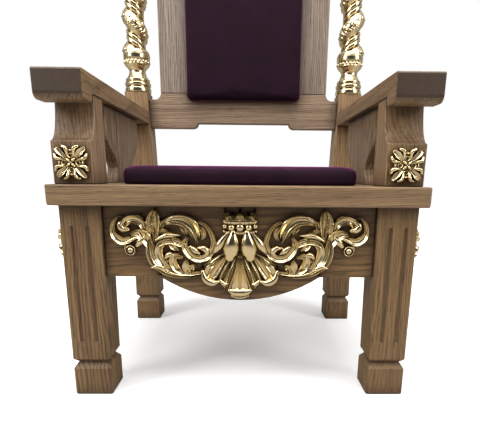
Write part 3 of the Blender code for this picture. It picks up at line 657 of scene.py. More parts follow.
def garland(along, across):
    """Relief of the garland: five-petalled flowers a fixed way apart along it, and
    between them pointed leaves that lean out to both sides."""
    step = np.floor(along / GARLAND_REPEAT)
    ahead = along - (step + 0.5) * GARLAND_REPEAT
    reach = np.hypot(ahead, across)
    around = np.arctan2(across, ahead) + step * 1.3
    petal_reach = PETAL_REACH * (0.80 + 0.20 * np.cos(5 * around))
    relief = 2.6 * dome(reach / petal_reach) * (1 - 0.45 * bell((reach - 3.0) / 1.2))
    relief = relief + 1.5 * dome(reach / 2.3)
    for side in (1, -1):
        for place, lean, long, out in GARLAND_LEAVES:
            step = np.floor(along / GARLAND_REPEAT - place + 0.5)
            b = along - (step + place) * GARLAND_REPEAT
            c = across * side - out
            forward = b * math.cos(lean) + c * math.sin(lean)
            aside = -b * math.sin(lean) + c * math.cos(lean)
            width = LEAF_WIDTH * np.clip(1 - (forward / long) ** 2, 0, 1)
            leaf = 2.3 * dome(aside / np.maximum(width, 0.01)) * (width > 0.02)
            relief = np.maximum(relief, leaf * (1 - 0.35 * bell(aside / 0.8)))
    return relief


def shaft_radius(rise, angle, settings):
    """Radius of the twisted shaft. Round the twist, from the middle of the garland:
    body plus swell times the cosine, with the garland's relief on it, then a deep
    groove and two strands as full domes at the far side."""
    body, swell, pitch = (x / MM for x in (settings.body, settings.swell, settings.pitch))
    phase = angle - 2 * np.pi * rise / pitch
    around = (phase + np.pi) % (2 * np.pi) - np.pi
    slope = 2 * np.pi * body / pitch
    tangent = np.array((slope, 1.0)) / math.hypot(slope, 1.0)
    along = tangent[0] * body * around + math.hypot(slope, 1.0) * rise
    across = tangent[1] * body * around
    relief = garland(along / GARLAND_SIZE, across / GARLAND_SIZE) - GARLAND_SUNK
    lobe = body + swell * np.cos(around) + relief
    radius = GROOVE_RADIUS + (lobe - GROOVE_RADIUS) * ramp(*GARLAND_EDGE, np.abs(around))
    for middle in (np.pi - STRAND_ANGLE, STRAND_ANGLE - np.pi):
        away = (around - middle + np.pi) % (2 * np.pi) - np.pi
        height = settings.strand / MM - GROOVE_RADIUS
        radius = np.maximum(radius, GROOVE_RADIUS + height * dome(away / STRAND_ANGLE, 4))
    return radius


def column_shell(low, high, settings):
    """A whole column as radius over height and angle: a turned foot below and another
    upside down on top, and the twisted shaft between, which spreads into their cups."""
    height = (high.z - low.z) / MM
    foot_rows, shaft_rows, top_rows = COLUMN_ROWS
    rise = np.concatenate([
        np.linspace(0, FOOT_RISE, foot_rows, endpoint=False),
        np.linspace(FOOT_RISE, height - FOOT_RISE, shaft_rows, endpoint=False),
        np.linspace(height - FOOT_RISE, height, top_rows),
    ])[:, None]
    down = height - rise
    angle = round_angles(COLUMN_POINTS)[None, :]
    near_cup = np.maximum(bell((rise - CUP_TOP) / SPREAD_RISE), bell((down - CUP_TOP) / SPREAD_RISE))
    shaft = shaft_radius(rise - TWIST_START, angle, settings) * (1 + SPREAD_SHARE * near_cup)
    shaft = np.where(np.minimum(rise, down) > CUP_TOP - CUP_DEPTH, shaft, 0.0)
    radius = np.maximum(shaft, np.maximum(foot_radius(rise, angle), foot_radius(down, angle))) * MM
    middle = (low + high) / 2
    return np.stack([
        middle.x + radius * np.cos(angle),
        middle.y + radius * np.sin(angle),
        low.z + rise * MM + 0 * angle,
    ], -1)


class CHAIR_OT_columns(bpy.types.Operator):
    """Carves the two twisted columns, one the mirror image of the other"""

    bl_idname = "chair.columns"
    bl_label = "Gilded columns"

    def execute(self, context):
        shell = closed_tube(column_shell(*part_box("column_right"), context.scene.chair_columns))
        gold = gilding("gilding columns", gouge_scale=190.0)
        add_piece("column_right_gilt", [shell], gold, "column_right", sharp=70)
        add_piece("column_left_gilt", [mirrored(shell)], gold, "column_left", sharp=70)
        return {"FINISHED"}


# Rosettes, in mm

# One corner leaf: u runs sideways and v from the middle to the corner. A stroke
# has its points, its half widths and heights along the way, the kind of its section
# and how many notches or folds it has.
ROSETTE_STROKES = (
    (((0, 12), (0, 21), (0, 30), (0, 37)), (3, 5, 7, 5), (7, 10, 12, 10), "hollow", 0),
    (((4, 14), (10, 20), (14, 27), (12, 33)), (3, 4, 5, 4), (5, 9, 11, 8), "petal", 0),
    (((-4, 14), (-10, 20), (-14, 27), (-12, 33)), (3, 4, 5, 4), (5, 9, 11, 8), "petal", 0),
    (((13, 20), (17, 17), (20, 13)), (2, 3, 2), (5, 8, 5), "roll", 0),
    (((0, 2), (0, 6), (0, 10)), (2, 4, 3), (8, 11, 9), "petal", 0),
)
# The width that the leaves are drawn for, and the plate's within it
ROSETTE_SPAN = 67.0
ROSETTE_PLATE = 63.5
PLATE_THICKNESS = 3.4
# How far out the four drilled holes are, their size and depth
HOLE_PLACE = 14.0
HOLE_SIZE = 3.6
HOLE_DEPTH = 3.0
# The ring round a hole: its radius, half width, height and the ground it starts from
EYE_RADIUS = 4.6
EYE_TUBE = 1.6
EYE_HEIGHT = 5.0
EYE_GROUND = 1.5
# The middle bead's radius and height
BOSS = (2.8, 10.0)


def rosette_plate():
    """The rosette's ground: a square whose sides curve in, with four drilled holes,
    as height over share of the way out and angle."""
    angle = round_angles(128)[None, :]
    share = np.linspace(0.02, 1.0, 40)[:, None]
    square = ROSETTE_PLATE / 2 / np.maximum(np.abs(np.cos(angle)), np.abs(np.sin(angle)))
    reach = square * (0.70 - 0.05 * np.cos(4 * angle))
    u, v = share * reach * np.cos(angle), share * reach * np.sin(angle)
    height = PLATE_THICKNESS - 0.8 * share**2
    for turn in round_angles(4):
        away = np.hypot(u - HOLE_PLACE * math.cos(turn), v - HOLE_PLACE * math.sin(turn))
        height = height - HOLE_DEPTH * np.exp(-((away / HOLE_SIZE) ** 4))
    return walled(np.stack([u, v, height], -1))


def eye_ring(u, v):
    """Half round ring about a drilled hole: a torus that is flat from its middle down."""
    around = round_angles(28)[:, None]
    across = round_angles(12)[None, :]
    out = EYE_RADIUS + EYE_TUBE * np.cos(across)
    rise = np.maximum(EYE_HEIGHT * np.sin(across), 0.0) + EYE_GROUND
    return np.stack([u + out * np.cos(around), v + out * np.sin(around), rise + 0 * around], -1)


def rosette_shells(size, placed_at):
    """All shells of a rosette: its plate, four groups of leaves, four eyes and the boss."""
    scale = size / (ROSETTE_SPAN * MM)
    shells = [closed_tube(placed_at(rosette_plate() * scale))]
    for turn in round_angles(4):
        cos, sin = math.cos(turn + math.pi / 4), math.sin(turn + math.pi / 4)
        turned = np.array(((cos, sin, 0), (-sin, cos, 0), (0, 0, 1))) * scale
        for stroke in ROSETTE_STROKES:
            shells.append(closed_tube(placed_at(carved_stroke(stroke, 22, 13) @ turned)))
        eye = eye_ring(HOLE_PLACE * math.cos(turn), HOLE_PLACE * math.sin(turn))
        shells.append(closed_ring(placed_at(eye * scale)))
    shells.append(closed_tube(placed_at(bead_rings(0.0, 0.0, *BOSS) * scale)))
    return shells


class CHAIR_OT_rosettes(bpy.types.Operator):
    """Carves the four square rosettes of the arm posts and front legs"""

    bl_idname = "chair.rosettes"
    bl_label = "Gilded rosettes"

    def execute(self, context):
        gold = gilding("gilding rosettes", gouge_scale=320.0)
        for word, outward in (("left", -1), ("right", 1)):
            node = "post_rosette_" + word
            low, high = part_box(node)
            middle = (low + high) / 2
            on_post = laid_on((middle.x, high.y, middle.z), (1, 0, 0), (0, 0, 1), (0, -1, 0))
            shells = rosette_shells(high.x - low.x, on_post)
            add_piece(node + "_gilt", shells, gold, node, sharp=60)

            node = "leg_rosette_" + word
            low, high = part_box(node)
            middle = (low + high) / 2
            inner = high.x if outward < 0 else low.x
            on_leg = laid_on((inner, middle.y, middle.z), (0, 1, 0), (0, 0, 1), (outward, 0, 0))
            shells = rosette_shells(high.y - low.y, on_leg)
            add_piece(node + "_gilt", shells, gold, node, sharp=60)
        return {"FINISHED"}


# Apron ornament, in mm

# One side of the carving in strokes as above: u runs outward from the middle and v
# upward from the foot.
SCROLL_STROKES = {
    "inner stem": (
        ((129, 119), (146, 120), (160, 114), (166, 98), (162, 80), (150, 65), (128, 55), (99, 53), (74, 56)),
        (5, 7, 8, 9, 9, 8, 6, 5, 3), (11, 12, 13, 13, 12, 11, 10, 9, 7), "hollow", 0),
    "outer stem": (
        ((180, 128), (183, 111), (182, 94), (176, 76), (162, 61), (143, 51), (118, 46), (90, 47)),
        (6, 9, 11, 11, 9, 7, 5, 2), (12, 14, 14, 13, 12, 10, 8, 6), "ridged", 2),
    "ring": (
        ((86, 161), (70, 153), (59, 138), (54, 121), (56, 104), (66, 90), (82, 84), (97, 88),
         (108, 101), (113, 115), (108, 127)),
        (3, 4, 5, 6, 7, 8, 8, 8, 8, 7, 4), (9, 10, 11, 11, 12, 12, 12, 12, 13, 13, 11), "hollow", 0),
    "broad leaf": (
        ((157, 155), (136, 163), (115, 162), (99, 151), (90, 136), (86, 119)),
        (5, 10, 13, 14, 11, 3), (11, 13, 15, 16, 16, 13), "hollow", 0),
    "broad leaf fold": (
        ((140, 159), (118, 158), (102, 148), (93, 134), (88, 121)),
        (1, 2, 4, 3, 1), (13, 16, 18, 18, 14), "roll", 0),
    "broad leaf rim": (
        ((152, 160), (131, 171), (108, 170), (91, 161), (81, 147)),
        (1, 4, 4, 4, 1), (9, 13, 14, 14, 10), "roll", 0),
    "broad leaf outer lobe": (
        ((85, 151), (75, 143), (74, 132), (80, 122)),
        (4, 6, 6, 2), (11, 13, 13, 10), "hollow", 0),
    "broad leaf inner lobe": (
        ((120, 155), (112, 146), (107, 133)),
        (5, 8, 2), (12, 14, 11), "hollow", 0),
    "shell left": (((100, 108), (92, 101), (84, 95)), (5, 8, 4), (11, 14, 10), "roll", 0),
    "shell right": (
        ((84, 107), (74, 106), (67, 98), (74, 91)),
        (4, 7, 7, 3), (11, 14, 13, 10), "roll", 0),
    "branch": (
        ((173, 113), (155, 121), (137, 122), (124, 117), (112, 110)),
        (8, 9, 8, 8, 5), (12, 14, 14, 13, 11), "hollow", 0),
    "branch drop": (((142, 117), (134, 108), (127, 103)), (6, 7, 3), (11, 12, 8), "hollow", 0),
    "branch leaf": (
        ((170, 123), (156, 130), (142, 133), (122, 133)),
        (3, 6, 7, 2), (13, 15, 16, 12), "petal", 0),
    "branch lobe": (((169, 129), (157, 139), (143, 140)), (4, 7, 3), (12, 14, 11), "hollow", 0),
    "right lobe": (((168, 134), (160, 150), (153, 165)), (5, 8, 2), (12, 14, 10), "hollow", 0),
    "left lobe": (((181, 140), (188, 152), (193, 165)), (4, 5, 1), (11, 12, 10), "hollow", 0),
    "upright leaf": (
        ((173, 114), (175, 136), (175, 156), (172, 173), (168, 187)),
        (5, 12, 15, 12, 1), (13, 15, 17, 16, 12), "dotted", 5),
    "volute": (
        ((234, 171), (247, 166), (255, 153), (256, 138), (249, 126), (238, 120), (225, 123), (212, 129)),
        (1, 3, 5, 6, 9, 9, 7, 4), (7, 10, 11, 12, 13, 13, 12, 10), "hollow", 0),
    "volute arm": (
        ((190, 139), (196, 155), (207, 163), (219, 164), (230, 158), (235, 151)),
        (6, 8, 9, 9, 9, 7), (11, 13, 14, 14, 14, 13), "hollow", 0),
    "volute bulb": (
        ((233, 160), (240, 154), (236, 146), (227, 144)),
        (5, 8, 9, 6), (13, 16, 17, 13), "roll", 0),
    "volute rim": (((190, 158), (203, 171), (220, 172)), (2, 3, 1), (9, 11, 8), "roll", 0),
    "side leaf": (
        ((179, 96), (183, 114), (191, 128), (205, 135), (223, 135)),
        (7, 10, 13, 11, 2), (14, 16, 17, 15, 11), "hollow", 0),
    "side leaf lobe": (((195, 133), (200, 141), (203, 148)), (7, 6, 2), (14, 13, 9), "hollow", 0),
    "drop lobe": (((193, 127), (201, 120), (208, 112)), (5, 9, 6), (12, 15, 12), "petal", 0),
    "ball strap": (
        ((210, 127), (222, 121), (232, 113), (236, 102)),
        (4, 5, 3, 2), (9, 9, 8, 6), "roll", 0),
    "curl": (
        ((122, 55), (132, 66), (137, 79), (132, 90), (121, 88)),
        (6, 9, 9, 7, 4), (10, 13, 15, 15, 12), "hollow", 0),
    "curl blob": (((152, 86), (145, 92), (137, 92)), (4, 8, 5), (12, 15, 13), "petal", 0),
    "curl leaf": (((146, 58), (149, 73), (144, 85)), (6, 8, 4), (10, 12, 11), "hollow", 0),
    "small leaf": (((107, 53), (111, 69), (109, 84)), (6, 9, 1), (9, 13, 10), "hollow", 0),
    "small leaf lobe": (((103, 56), (98, 66), (90, 70)), (4, 7, 1), (9, 12, 9), "hollow", 0),
    "tail": (((154, 61), (169, 67), (182, 65)), (6, 7, 2), (10, 13, 10), "petal", 0),
    "tail drop": (((167, 62), (169, 54), (163, 49)), (5, 5, 1), (10, 11, 8), "leaf", 2),
    "fan outer lobe": (
        ((30, 92), (45, 75), (58, 58), (66, 43)),
        (6, 13, 16, 12), (10, 12, 13, 12), "dotted", 8),
    "fan rim leaf": (((36, 90), (57, 77), (81, 66)), (4, 8, 1), (9, 12, 8), "leaf", 3),
    "fan outer roll": (
        ((77, 57), (72, 41), (58, 33), (44, 36)),
        (5, 9, 9, 4), (12, 15, 16, 12), "petal", 0),
    "fan mid lobe": (((19, 79), (29, 57), (37, 39)), (5, 9, 8), (10, 12, 12), "pleated", 2),
    "fan mid roll": (((26, 31), (34, 32), (41, 40)), (4, 7, 3), (12, 15, 11), "roll", 0),
    "fan middle side": (((7, 82), (16, 56), (26, 26)), (6, 11, 9), (10, 13, 13), "pleated", 2),
    "narrow petal": (
        ((25, 137), (34, 125), (44, 110), (52, 99)),
        (4, 8, 9, 5), (9, 13, 14, 10), "petal", 0),
    "petal tip leaf": (((42, 104), (51, 98), (60, 99)), (4, 5, 1), (7, 9, 6), "leaf", 2),
    "big petal": (
        ((14, 137), (16, 122), (18, 107), (20, 95), (21, 89)),
        (8, 14, 17, 16, 12), (12, 16, 18, 17, 14), "petal", 0),
    "crown petal": (((18, 156), (24, 170), (32, 187)), (7, 7, 1), (10, 13, 9), "leaf", 2),
    "crown inner petal": (((9, 156), (13, 169), (16, 180)), (6, 6, 1), (10, 14, 10), "leaf", 2),
}
MIDDLE_STROKES = {
    "bead band": (
        ((-33, 141), (-14, 138), (14, 138), (33, 141)),
        (2, 4, 4, 2), (6, 9, 9, 6), "roll", 0),
    "crown band": (
        ((-29, 160), (-12, 160), (12, 160), (29, 160)),
        (6, 8, 8, 6), (8, 10, 10, 8), "roll", 0),
    "crown middle petal": (((0, 156), (0, 170), (0, 188)), (8, 8, 1), (11, 15, 11), "leaf", 3),
    "fan middle lobe": (
        ((0, 90), (0, 64), (0, 42), (0, 22)),
        (6, 10, 15, 19), (11, 14, 15, 14), "dotted", 9),
    "fan foot roll": (
        ((-22, 17), (-11, 13), (11, 13), (22, 17)),
        (5, 10, 10, 5), (12, 16, 16, 12), "roll", 0),
    "fan foot lip": (((-17, 5), (-6, 3), (6, 3), (17, 5)), (3, 5, 5, 3), (10, 13, 13, 10), "roll", 0),
}
# Beads as (u, v, radius, height), and the ball in the volute
MIDDLE_BEAD = (0, 149, 8.8, 14.5)
SIDE_BEADS = (
    (17.5, 148.5, 7.2, 13.0), (31, 151, 5.4, 11.0), (33, 141, 3.0, 8.5), (27, 139, 2.8, 8.5),
)
BALL = (223.5, 101, 11.0, 13.0)
# How far the drawing's foot is above the apron's lower edge
ORNAMENT_RISE = 7.0
# Steps in which a stroke's line is measured
LINE_STEPS = 201
# Least half width of a stroke's end. The end stands out by a share of its half width
# and is rounded off, but for a last blunt bit.
END_LEAST = 0.4
END_REACH = 0.98
END_ROUNDING = 0.985
# Height of a stroke's edges against its middle, and of its very ends
EDGE_HEIGHT = 0.16
END_HEIGHT = 0.35


def section_height(kind, s, t, count):
    """Height of a stroke's section as a share of its full height, over s from edge to
    edge and t from foot to tip. roll: a half circle. petal: a fuller one. hollow: a
    parabola as a bowl inside rounded edges. ridged: a low dome with folds along it.
    pleated: cosine folds. leaf: a midrib with a trough on either side, crossed by
    faint slanted veins. dotted: the same with a row of beads in place of the veins."""
    rim = np.abs(s)
    shoulder = dome(s, 8)
    if kind == "roll":
        return dome(s) + 0 * t
    if kind == "petal":
        return np.clip(1 - rim**2.4, 0, 1) ** 0.6 + 0 * t
    if kind == "hollow":
        return (0.42 + 0.58 * np.minimum(rim / 0.84, 1) ** 2) * shoulder + 0 * t
    folds = np.cos(2 * np.pi * count * s)
    if kind == "ridged":
        return 0.80 * dome(s) ** 0.6 + 0.14 * folds * shoulder + 0 * t
    if kind == "pleated":
        return (0.80 + 0.20 * folds) * shoulder + 0 * t
    trough = 0.48 + 0.44 * np.minimum(np.abs(rim - 0.44) / 0.40, 1) ** 2
    rib = 0.14 * bell(s / 0.10) * (1 - 0.6 * t)
    if kind == "leaf":
        veins = 0.025 * np.sin(4 * np.pi * count * (t - 0.25 * rim)) * ramp(0.2, 0.5, rim)
        return (trough + rib + veins) * shoulder
    dots = 0.5 + 0.5 * np.cos(4 * np.pi * count * t)
    return (trough + rib) * shoulder + 0.20 * dots * bell(s / 0.12)


def carved_stroke(stroke, rows=42, columns=21):
    """Rings of one carved stroke, as (u, v, height). A smooth line runs through its
    points; half widths and heights are smooth along it, both ends are rounded off as
    a quarter circle, leaves have notched edges, and the back is flat."""
    points, widths, heights, kind, count = stroke
    share = np.linspace(0, 1, LINE_STEPS)
    line = smooth_line(points, share)
    half = smooth_line(widths, share)[:, 0]
    steps = np.concatenate([[0], np.cumsum(np.linalg.norm(np.diff(line, axis=0), axis=1))])
    length = steps[-1]
    first, last = max(half[0], END_LEAST), max(half[-1], END_LEAST)
    ease = 0.5 - 0.5 * np.cos(np.pi * np.linspace(0, 1, rows))
    place = -first * END_REACH + ease * (length + (first + last) * END_REACH)
    inside = np.clip(place, 0, length)
    t = inside / length

    def along(values):
        """Values given at the line's steps, read off at each ring's place."""
        return np.interp(inside, steps, values)

    direction = np.stack([along(np.gradient(line[:, k], steps)) for k in range(2)], -1)
    direction /= np.linalg.norm(direction, axis=1)[:, None]
    middle = np.stack([along(line[:, 0]), along(line[:, 1])], -1)
    middle = middle + direction * (place - inside)[:, None]
    end = np.maximum(np.clip(-place / first, 0, 1), np.clip((place - length) / last, 0, 1))
    cap = np.sqrt(1 - end**2 * END_ROUNDING)
    width = np.maximum(along(half), 0.3) * cap
    if kind == "leaf":
        width = width * (0.84 + 0.20 * np.abs(np.sin(np.pi * count * t)) ** 0.6)
    rise = smooth_line(heights, t)[:, 0] * (END_HEIGHT + (1 - END_HEIGHT) * cap)
    s = np.sin(np.linspace(-np.pi / 2, np.pi / 2, columns))
    section = EDGE_HEIGHT + (1 - EDGE_HEIGHT) * section_height(kind, s[None, :], t[:, None], count)
    beside = np.array((1.0, -1.0)) * direction[:, ::-1]
    flat = middle[:, None, :] + beside[:, None, :] * (s[None, :, None] * width[:, None, None])
    top = np.concatenate([flat, (section * rise[:, None])[..., None]], -1)
    back = top[:, [-1, 0], :].copy()
    back[..., 2] = 0.0
    return np.concatenate([top, back], 1)


def bead_rings(u, v, radius, height, ringed=False):
    """A dome that stands on the ground: a half circle over the share of the way out.
    A ringed one is narrower, with a half round ring about it."""
    share = np.sin(np.linspace(0.03, np.pi / 2, 26 if ringed else 16))[:, None]
    angle = round_angles(32)[None, :]
    out = share * radius
    rise = height * (0.40 + 0.60 * dome(share / (0.64 if ringed else 1.0)))
    if ringed:
        rise = rise + 0.35 * height * dome((share - 0.85) / 0.15)
    return walled(np.stack([u + out * np.cos(angle), v + out * np.sin(angle), rise + 0 * angle], -1))


class CHAIR_OT_ornament(bpy.types.Operator):
    """Carves the pierced acanthus relief of the front apron"""

    bl_idname = "chair.ornament"
    bl_label = "Apron ornament"

    def execute(self, context):
        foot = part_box("front_apron")[0].z + ORNAMENT_RISE * MM
        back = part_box("apron_ornament")[1].y
        on_apron = laid_on((0.0, back, foot), (1, 0, 0), (0, 0, 1), (0, -1, 0))
        side = [carved_stroke(stroke) for stroke in SCROLL_STROKES.values()]
        side += [bead_rings(*bead) for bead in SIDE_BEADS] + [bead_rings(*BALL, True)]
        middle = [carved_stroke(stroke) for stroke in MIDDLE_STROKES.values()]
        middle.append(bead_rings(*MIDDLE_BEAD))
        shells = [closed_tube(on_apron(rings)) for rings in side + middle]
        shells += [mirrored(shell) for shell in shells[:len(side)]]
        gold = gilding("gilding ornament", gouge_scale=240.0)
        add_piece("apron_ornament_gilt", shells, gold, "apron_ornament", sharp=65)
        return {"FINISHED"}


# Cushions, in metres

CUSHION_POINTS = 160
# Radii of the corners seen from above, of the top's edge and of the bottom's edge
CORNER_RADIUS = 0.014
SHOULDER_RADIUS = 0.010
FOOT_RADIUS = 0.004
# Least radius of a corner where the slab is drawn in
LEAST_CORNER = 0.003
# How far the slab's top rises to the middle
CROWN = 0.0025
# Share of the most swell by which the slab is made smaller than its box
SWELL_SPARE = 0.72
# How far the finished cover stays inside the CAD solid's sides
COVER_GAP = 0.0003
# How far the seat cushion bulges past it at the sides and on top
COVER_SWELL = 0.002
# How much of the rounding is pressed flat on the side that a cushion rests on
REST_CUT = 0.008
# The cover as cloth, and the frames that it is simulated for
COVER_CLOTH = {
    "quality": 5,
    "mass": 0.4,
    "tension_stiffness": 12,
    "compression_stiffness": 12,
    "bending_stiffness": 1.5,
    "use_pressure": True,
}
COVER_FRAMES = 20


def cushion_outline(half_w, half_d, inset, turn):
    """A rectangle with round corners, drawn in by an inset, at each turn."""
    radius = max(CORNER_RADIUS - inset, LEAST_CORNER)
    x, y = np.cos(turn), np.sin(turn)
    w, d = half_w - inset - radius, half_d - inset - radius
    scale = 1.0 / np.maximum(np.abs(x) / (w + radius), np.abs(y) / (d + radius))
    px, py = x * scale, y * scale
    ax, ay = np.maximum(np.abs(px) - w, 0), np.maximum(np.abs(py) - d, 0)
    corner = (ax > 0) & (ay > 0)
    away = np.maximum(np.hypot(ax, ay), 1e-9)
    px = np.where(corner, np.sign(px) * (w + ax / away * radius), px)
    py = np.where(corner, np.sign(py) * (d + ay / away * radius), py)
    return px, py


def cushion_grid(width, depth, height):
    """Rings of a cushion about its middle: round-cornered rectangles. Their inset
    follows a small quarter circle up from the bottom, and a larger one into the top,
    which is crowned by a cosine."""
    turn = round_angles(CUSHION_POINTS) + np.pi / CUSHION_POINTS

    def ring(inset, share, z):
        """The outline at a height, drawn in by the inset and shrunk to the share."""
        px, py = cushion_outline(width / 2, depth / 2, inset, turn)
        return np.stack([px * share, py * share, np.full(CUSHION_POINTS, z)], -1)

    low, high = -height / 2, height / 2 - CROWN
    side_foot, side = low + FOOT_RADIUS, high - low - FOOT_RADIUS - SHOULDER_RADIUS
    shares = np.linspace(0.04, 0.97, 40)
    quarter = [(1 - math.sin(a), 1 - math.cos(a)) for a in np.linspace(0, np.pi / 2, 7)]
    rings = [ring(FOOT_RADIUS, share, low) for share in shares]
    rings += [ring(FOOT_RADIUS * a, 1, low + FOOT_RADIUS * b) for a, b in quarter]
    rings += [ring(0, 1, side_foot + share * side) for share in (0.35, 0.7)]
    rings += [ring(SHOULDER_RADIUS * b, 1, high - SHOULDER_RADIUS * a) for a, b in quarter]
    rings += [
        ring(SHOULDER_RADIUS, share, high + CROWN * math.cos(share * np.pi / 2))
        for share in shares[::-1]
    ]
    return np.array(rings)


def foam_slab(low, high, upright, spare):
    """Rings of the foam in its CAD box, smaller by what it will swell. The bottom
    rests on the seat, or on the panel where the cushion stands upright."""
    size, middle = high - low, (low + high) / 2
    width = size.x - 2 * spare
    if upright:
        grid = cushion_grid(width, size.z - 2 * spare, size.y - spare)
        across, upward, out = (grid[..., k] for k in range(3))
        return np.stack([middle.x + across, middle.y + spare / 2 - out, middle.z + upward], -1)
    grid = cushion_grid(width, size.y - 2 * spare, size.z - spare)
    return grid + np.array((middle.x, middle.y, middle.z - spare / 2))


def coordinates(mesh):
    """The mesh's points as an array (count, 3)."""
    flat = np.empty(len(mesh.vertices) * 3, np.float32)
    mesh.vertices.foreach_get("co", flat)
    return flat.reshape(-1, 3).astype(float)


def swollen(piece, settings):
    """Points of the cover after a simulation as cloth with pressure inside, on an even
    mesh. No point moves further than the settings allow."""
    remesh = piece.modifiers.new("even mesh", "REMESH")
    remesh.mode = "VOXEL"
    remesh.voxel_size = settings.voxel
    depsgraph = bpy.context.evaluated_depsgraph_get()
    even = bpy.data.meshes.new_from_object(piece.evaluated_get(depsgraph))
    piece.modifiers.clear()
    old = piece.data
    piece.data = even
    bpy.data.meshes.remove(old)
    rest = coordinates(even)
    cloth = piece.modifiers.new("cover", "CLOTH")
    for key, value in COVER_CLOTH.items():
        setattr(cloth.settings, key, value)
    cloth.settings.uniform_pressure_force = settings.pressure
    cloth.settings.effector_weights.gravity = 0.0
    cloth.point_cache.frame_start = 1
    cloth.point_cache.frame_end = COVER_FRAMES
    scene = bpy.context.scene
    for step in range(1, COVER_FRAMES + 1):
        scene.frame_set(step)
    depsgraph = bpy.context.evaluated_depsgraph_get()
    moved = coordinates(piece.evaluated_get(depsgraph).data)
    piece.modifiers.clear()
    scene.frame_set(1)
    move = moved - rest
    far = np.linalg.norm(move, axis=1)[:, None]
    return rest + move * np.minimum(1.0, settings.swell / np.maximum(far, 1e-9))


def fitted(points, low, high, upright):
    """The swollen cover scaled to its CAD box, which the seat's one passes a little,
    and pressed flat on the side that it rests on."""
    near, far = np.array(low) + COVER_GAP, np.array(high) - COVER_GAP
    if upright:
        far[1] += REST_CUT
    else:
        near += np.array((-COVER_SWELL, 0.0, -REST_CUT))
        far += np.array((COVER_SWELL, 0.0, COVER_SWELL))
    first, last = points.min(0), points.max(0)
    points = near + (points - first) * (far - near) / (last - first)
    if upright:
        points[:, 1] = np.minimum(points[:, 1], high.y - COVER_GAP)
    else:
        points[:, 2] = np.maximum(points[:, 2], low.z + COVER_GAP)
    return points


class CHAIR_OT_cushions(bpy.types.Operator):
    """Makes the seat and back cushions: a slab of foam in a velvet cover, swollen by simulation"""

    bl_idname = "chair.cushions"
    bl_label = "Velvet cushions"

    def execute(self, context):
        settings = context.scene.chair_cushions
        cloth = velvet("aubergine velvet")
        for node, upright, fill in (("seat_cushion", False, 0.75), ("back_cushion", True, 0.7)):
            low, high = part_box(node)
            slab = foam_slab(low, high, upright, settings.swell * SWELL_SPARE)
            points, quads, triangles = closed_tube(slab)
            mesh = bpy.data.meshes.new(node + "_velvet")
            mesh.from_pydata(points.tolist(), [], quads.tolist() + triangles.tolist())
            piece = bpy.data.objects.new(node + "_velvet", mesh)
            context.scene.collection.objects.link(piece)
            points = fitted(swollen(piece, settings), low, high, upright)
            piece.data.vertices.foreach_set("co", points.astype(np.float32).ravel())
            piece.data.update()
            piece.data.materials.append(cloth)
            piece.data.shade_smooth()
            finer = piece.modifiers.new("finer cover", "SUBSURF")
            finer.levels = finer.render_levels = 1
            placed(piece, node)
        return {"FINISHED"}


# Stage, in metres

FLOOR_RINGS = 24
FLOOR_POINTS = 96
FLOOR_RADII = (0.05, 7.0)
# Distances between which the floor's glow for the camera grows to white, and its strength
GLOW_REACH = (0.5, 1.6)
GLOW_STRENGTH = (0.34, 1.0)


def area_light(name, place, aim, size, power):
    """A soft white light that faces its aim."""
    light = bpy.data.lights.new(name, "AREA")
    light.shape = "RECTANGLE"
    light.size, light.size_y = size
    light.energy = power
    lamp = bpy.data.objects.new(name, light)
    lamp.location = place
    lamp.rotation_euler = (Vector(aim) - Vector(place)).to_track_quat("-Z", "Y").to_euler()
    bpy.context.scene.collection.objects.link(lamp)


def room_light():
    """White to the camera. Everything else meets a room: a pale ceiling, and round it
    grey walls with patches of dark openings and a wide dark doorway in front, which
    give the gold its dark reflections."""
    world = bpy.data.worlds.new("soft room")
    bpy.context.scene.world = world
    world.use_nodes = True
    tree = world.node_tree
    tree.nodes.clear()
    direction = tree.nodes.new("ShaderNodeTexCoord").outputs["Generated"]
    parts = add_node(tree, "ShaderNodeSeparateXYZ", {0: direction}).outputs
    patches = noise(tree, direction, 2.1, 1.0)
    uneven = math_node(tree, "MULTIPLY_ADD", patches, 0.3, -0.15)
    front = map_range(tree, math_node(tree, "ADD", parts["Y"], uneven), -0.40, -0.52)
    low = map_range(tree, math_node(tree, "ADD", parts["Z"], uneven), 0.62, 0.54)
    doorway = math_node(tree, "MULTIPLY", front, low)
    openings = math_node(tree, "MAXIMUM", doorway, map_range(tree, patches, 0.55, 0.60))
    walls = mixed(tree, openings, (0.60, 0.59, 0.56), (0.028, 0.034, 0.055))
    room = mixed(tree, map_range(tree, parts["Z"], 0.55, 0.80), walls, (1.0, 0.99, 0.97))
    soft = add_node(tree, "ShaderNodeBackground", {"Color": room, "Strength": 0.75})
    white = add_node(tree, "ShaderNodeBackground", {"Color": (1.0, 1.0, 1.0, 1.0), "Strength": 1.0})
    seen = tree.nodes.new("ShaderNodeLightPath").outputs["Is Camera Ray"]
    both = add_node(tree, "ShaderNodeMixShader", {0: seen, 1: soft.outputs[0], 2: white.outputs[0]})
    add_node(tree, "ShaderNodeOutputWorld", {"Surface": both.outputs[0]})


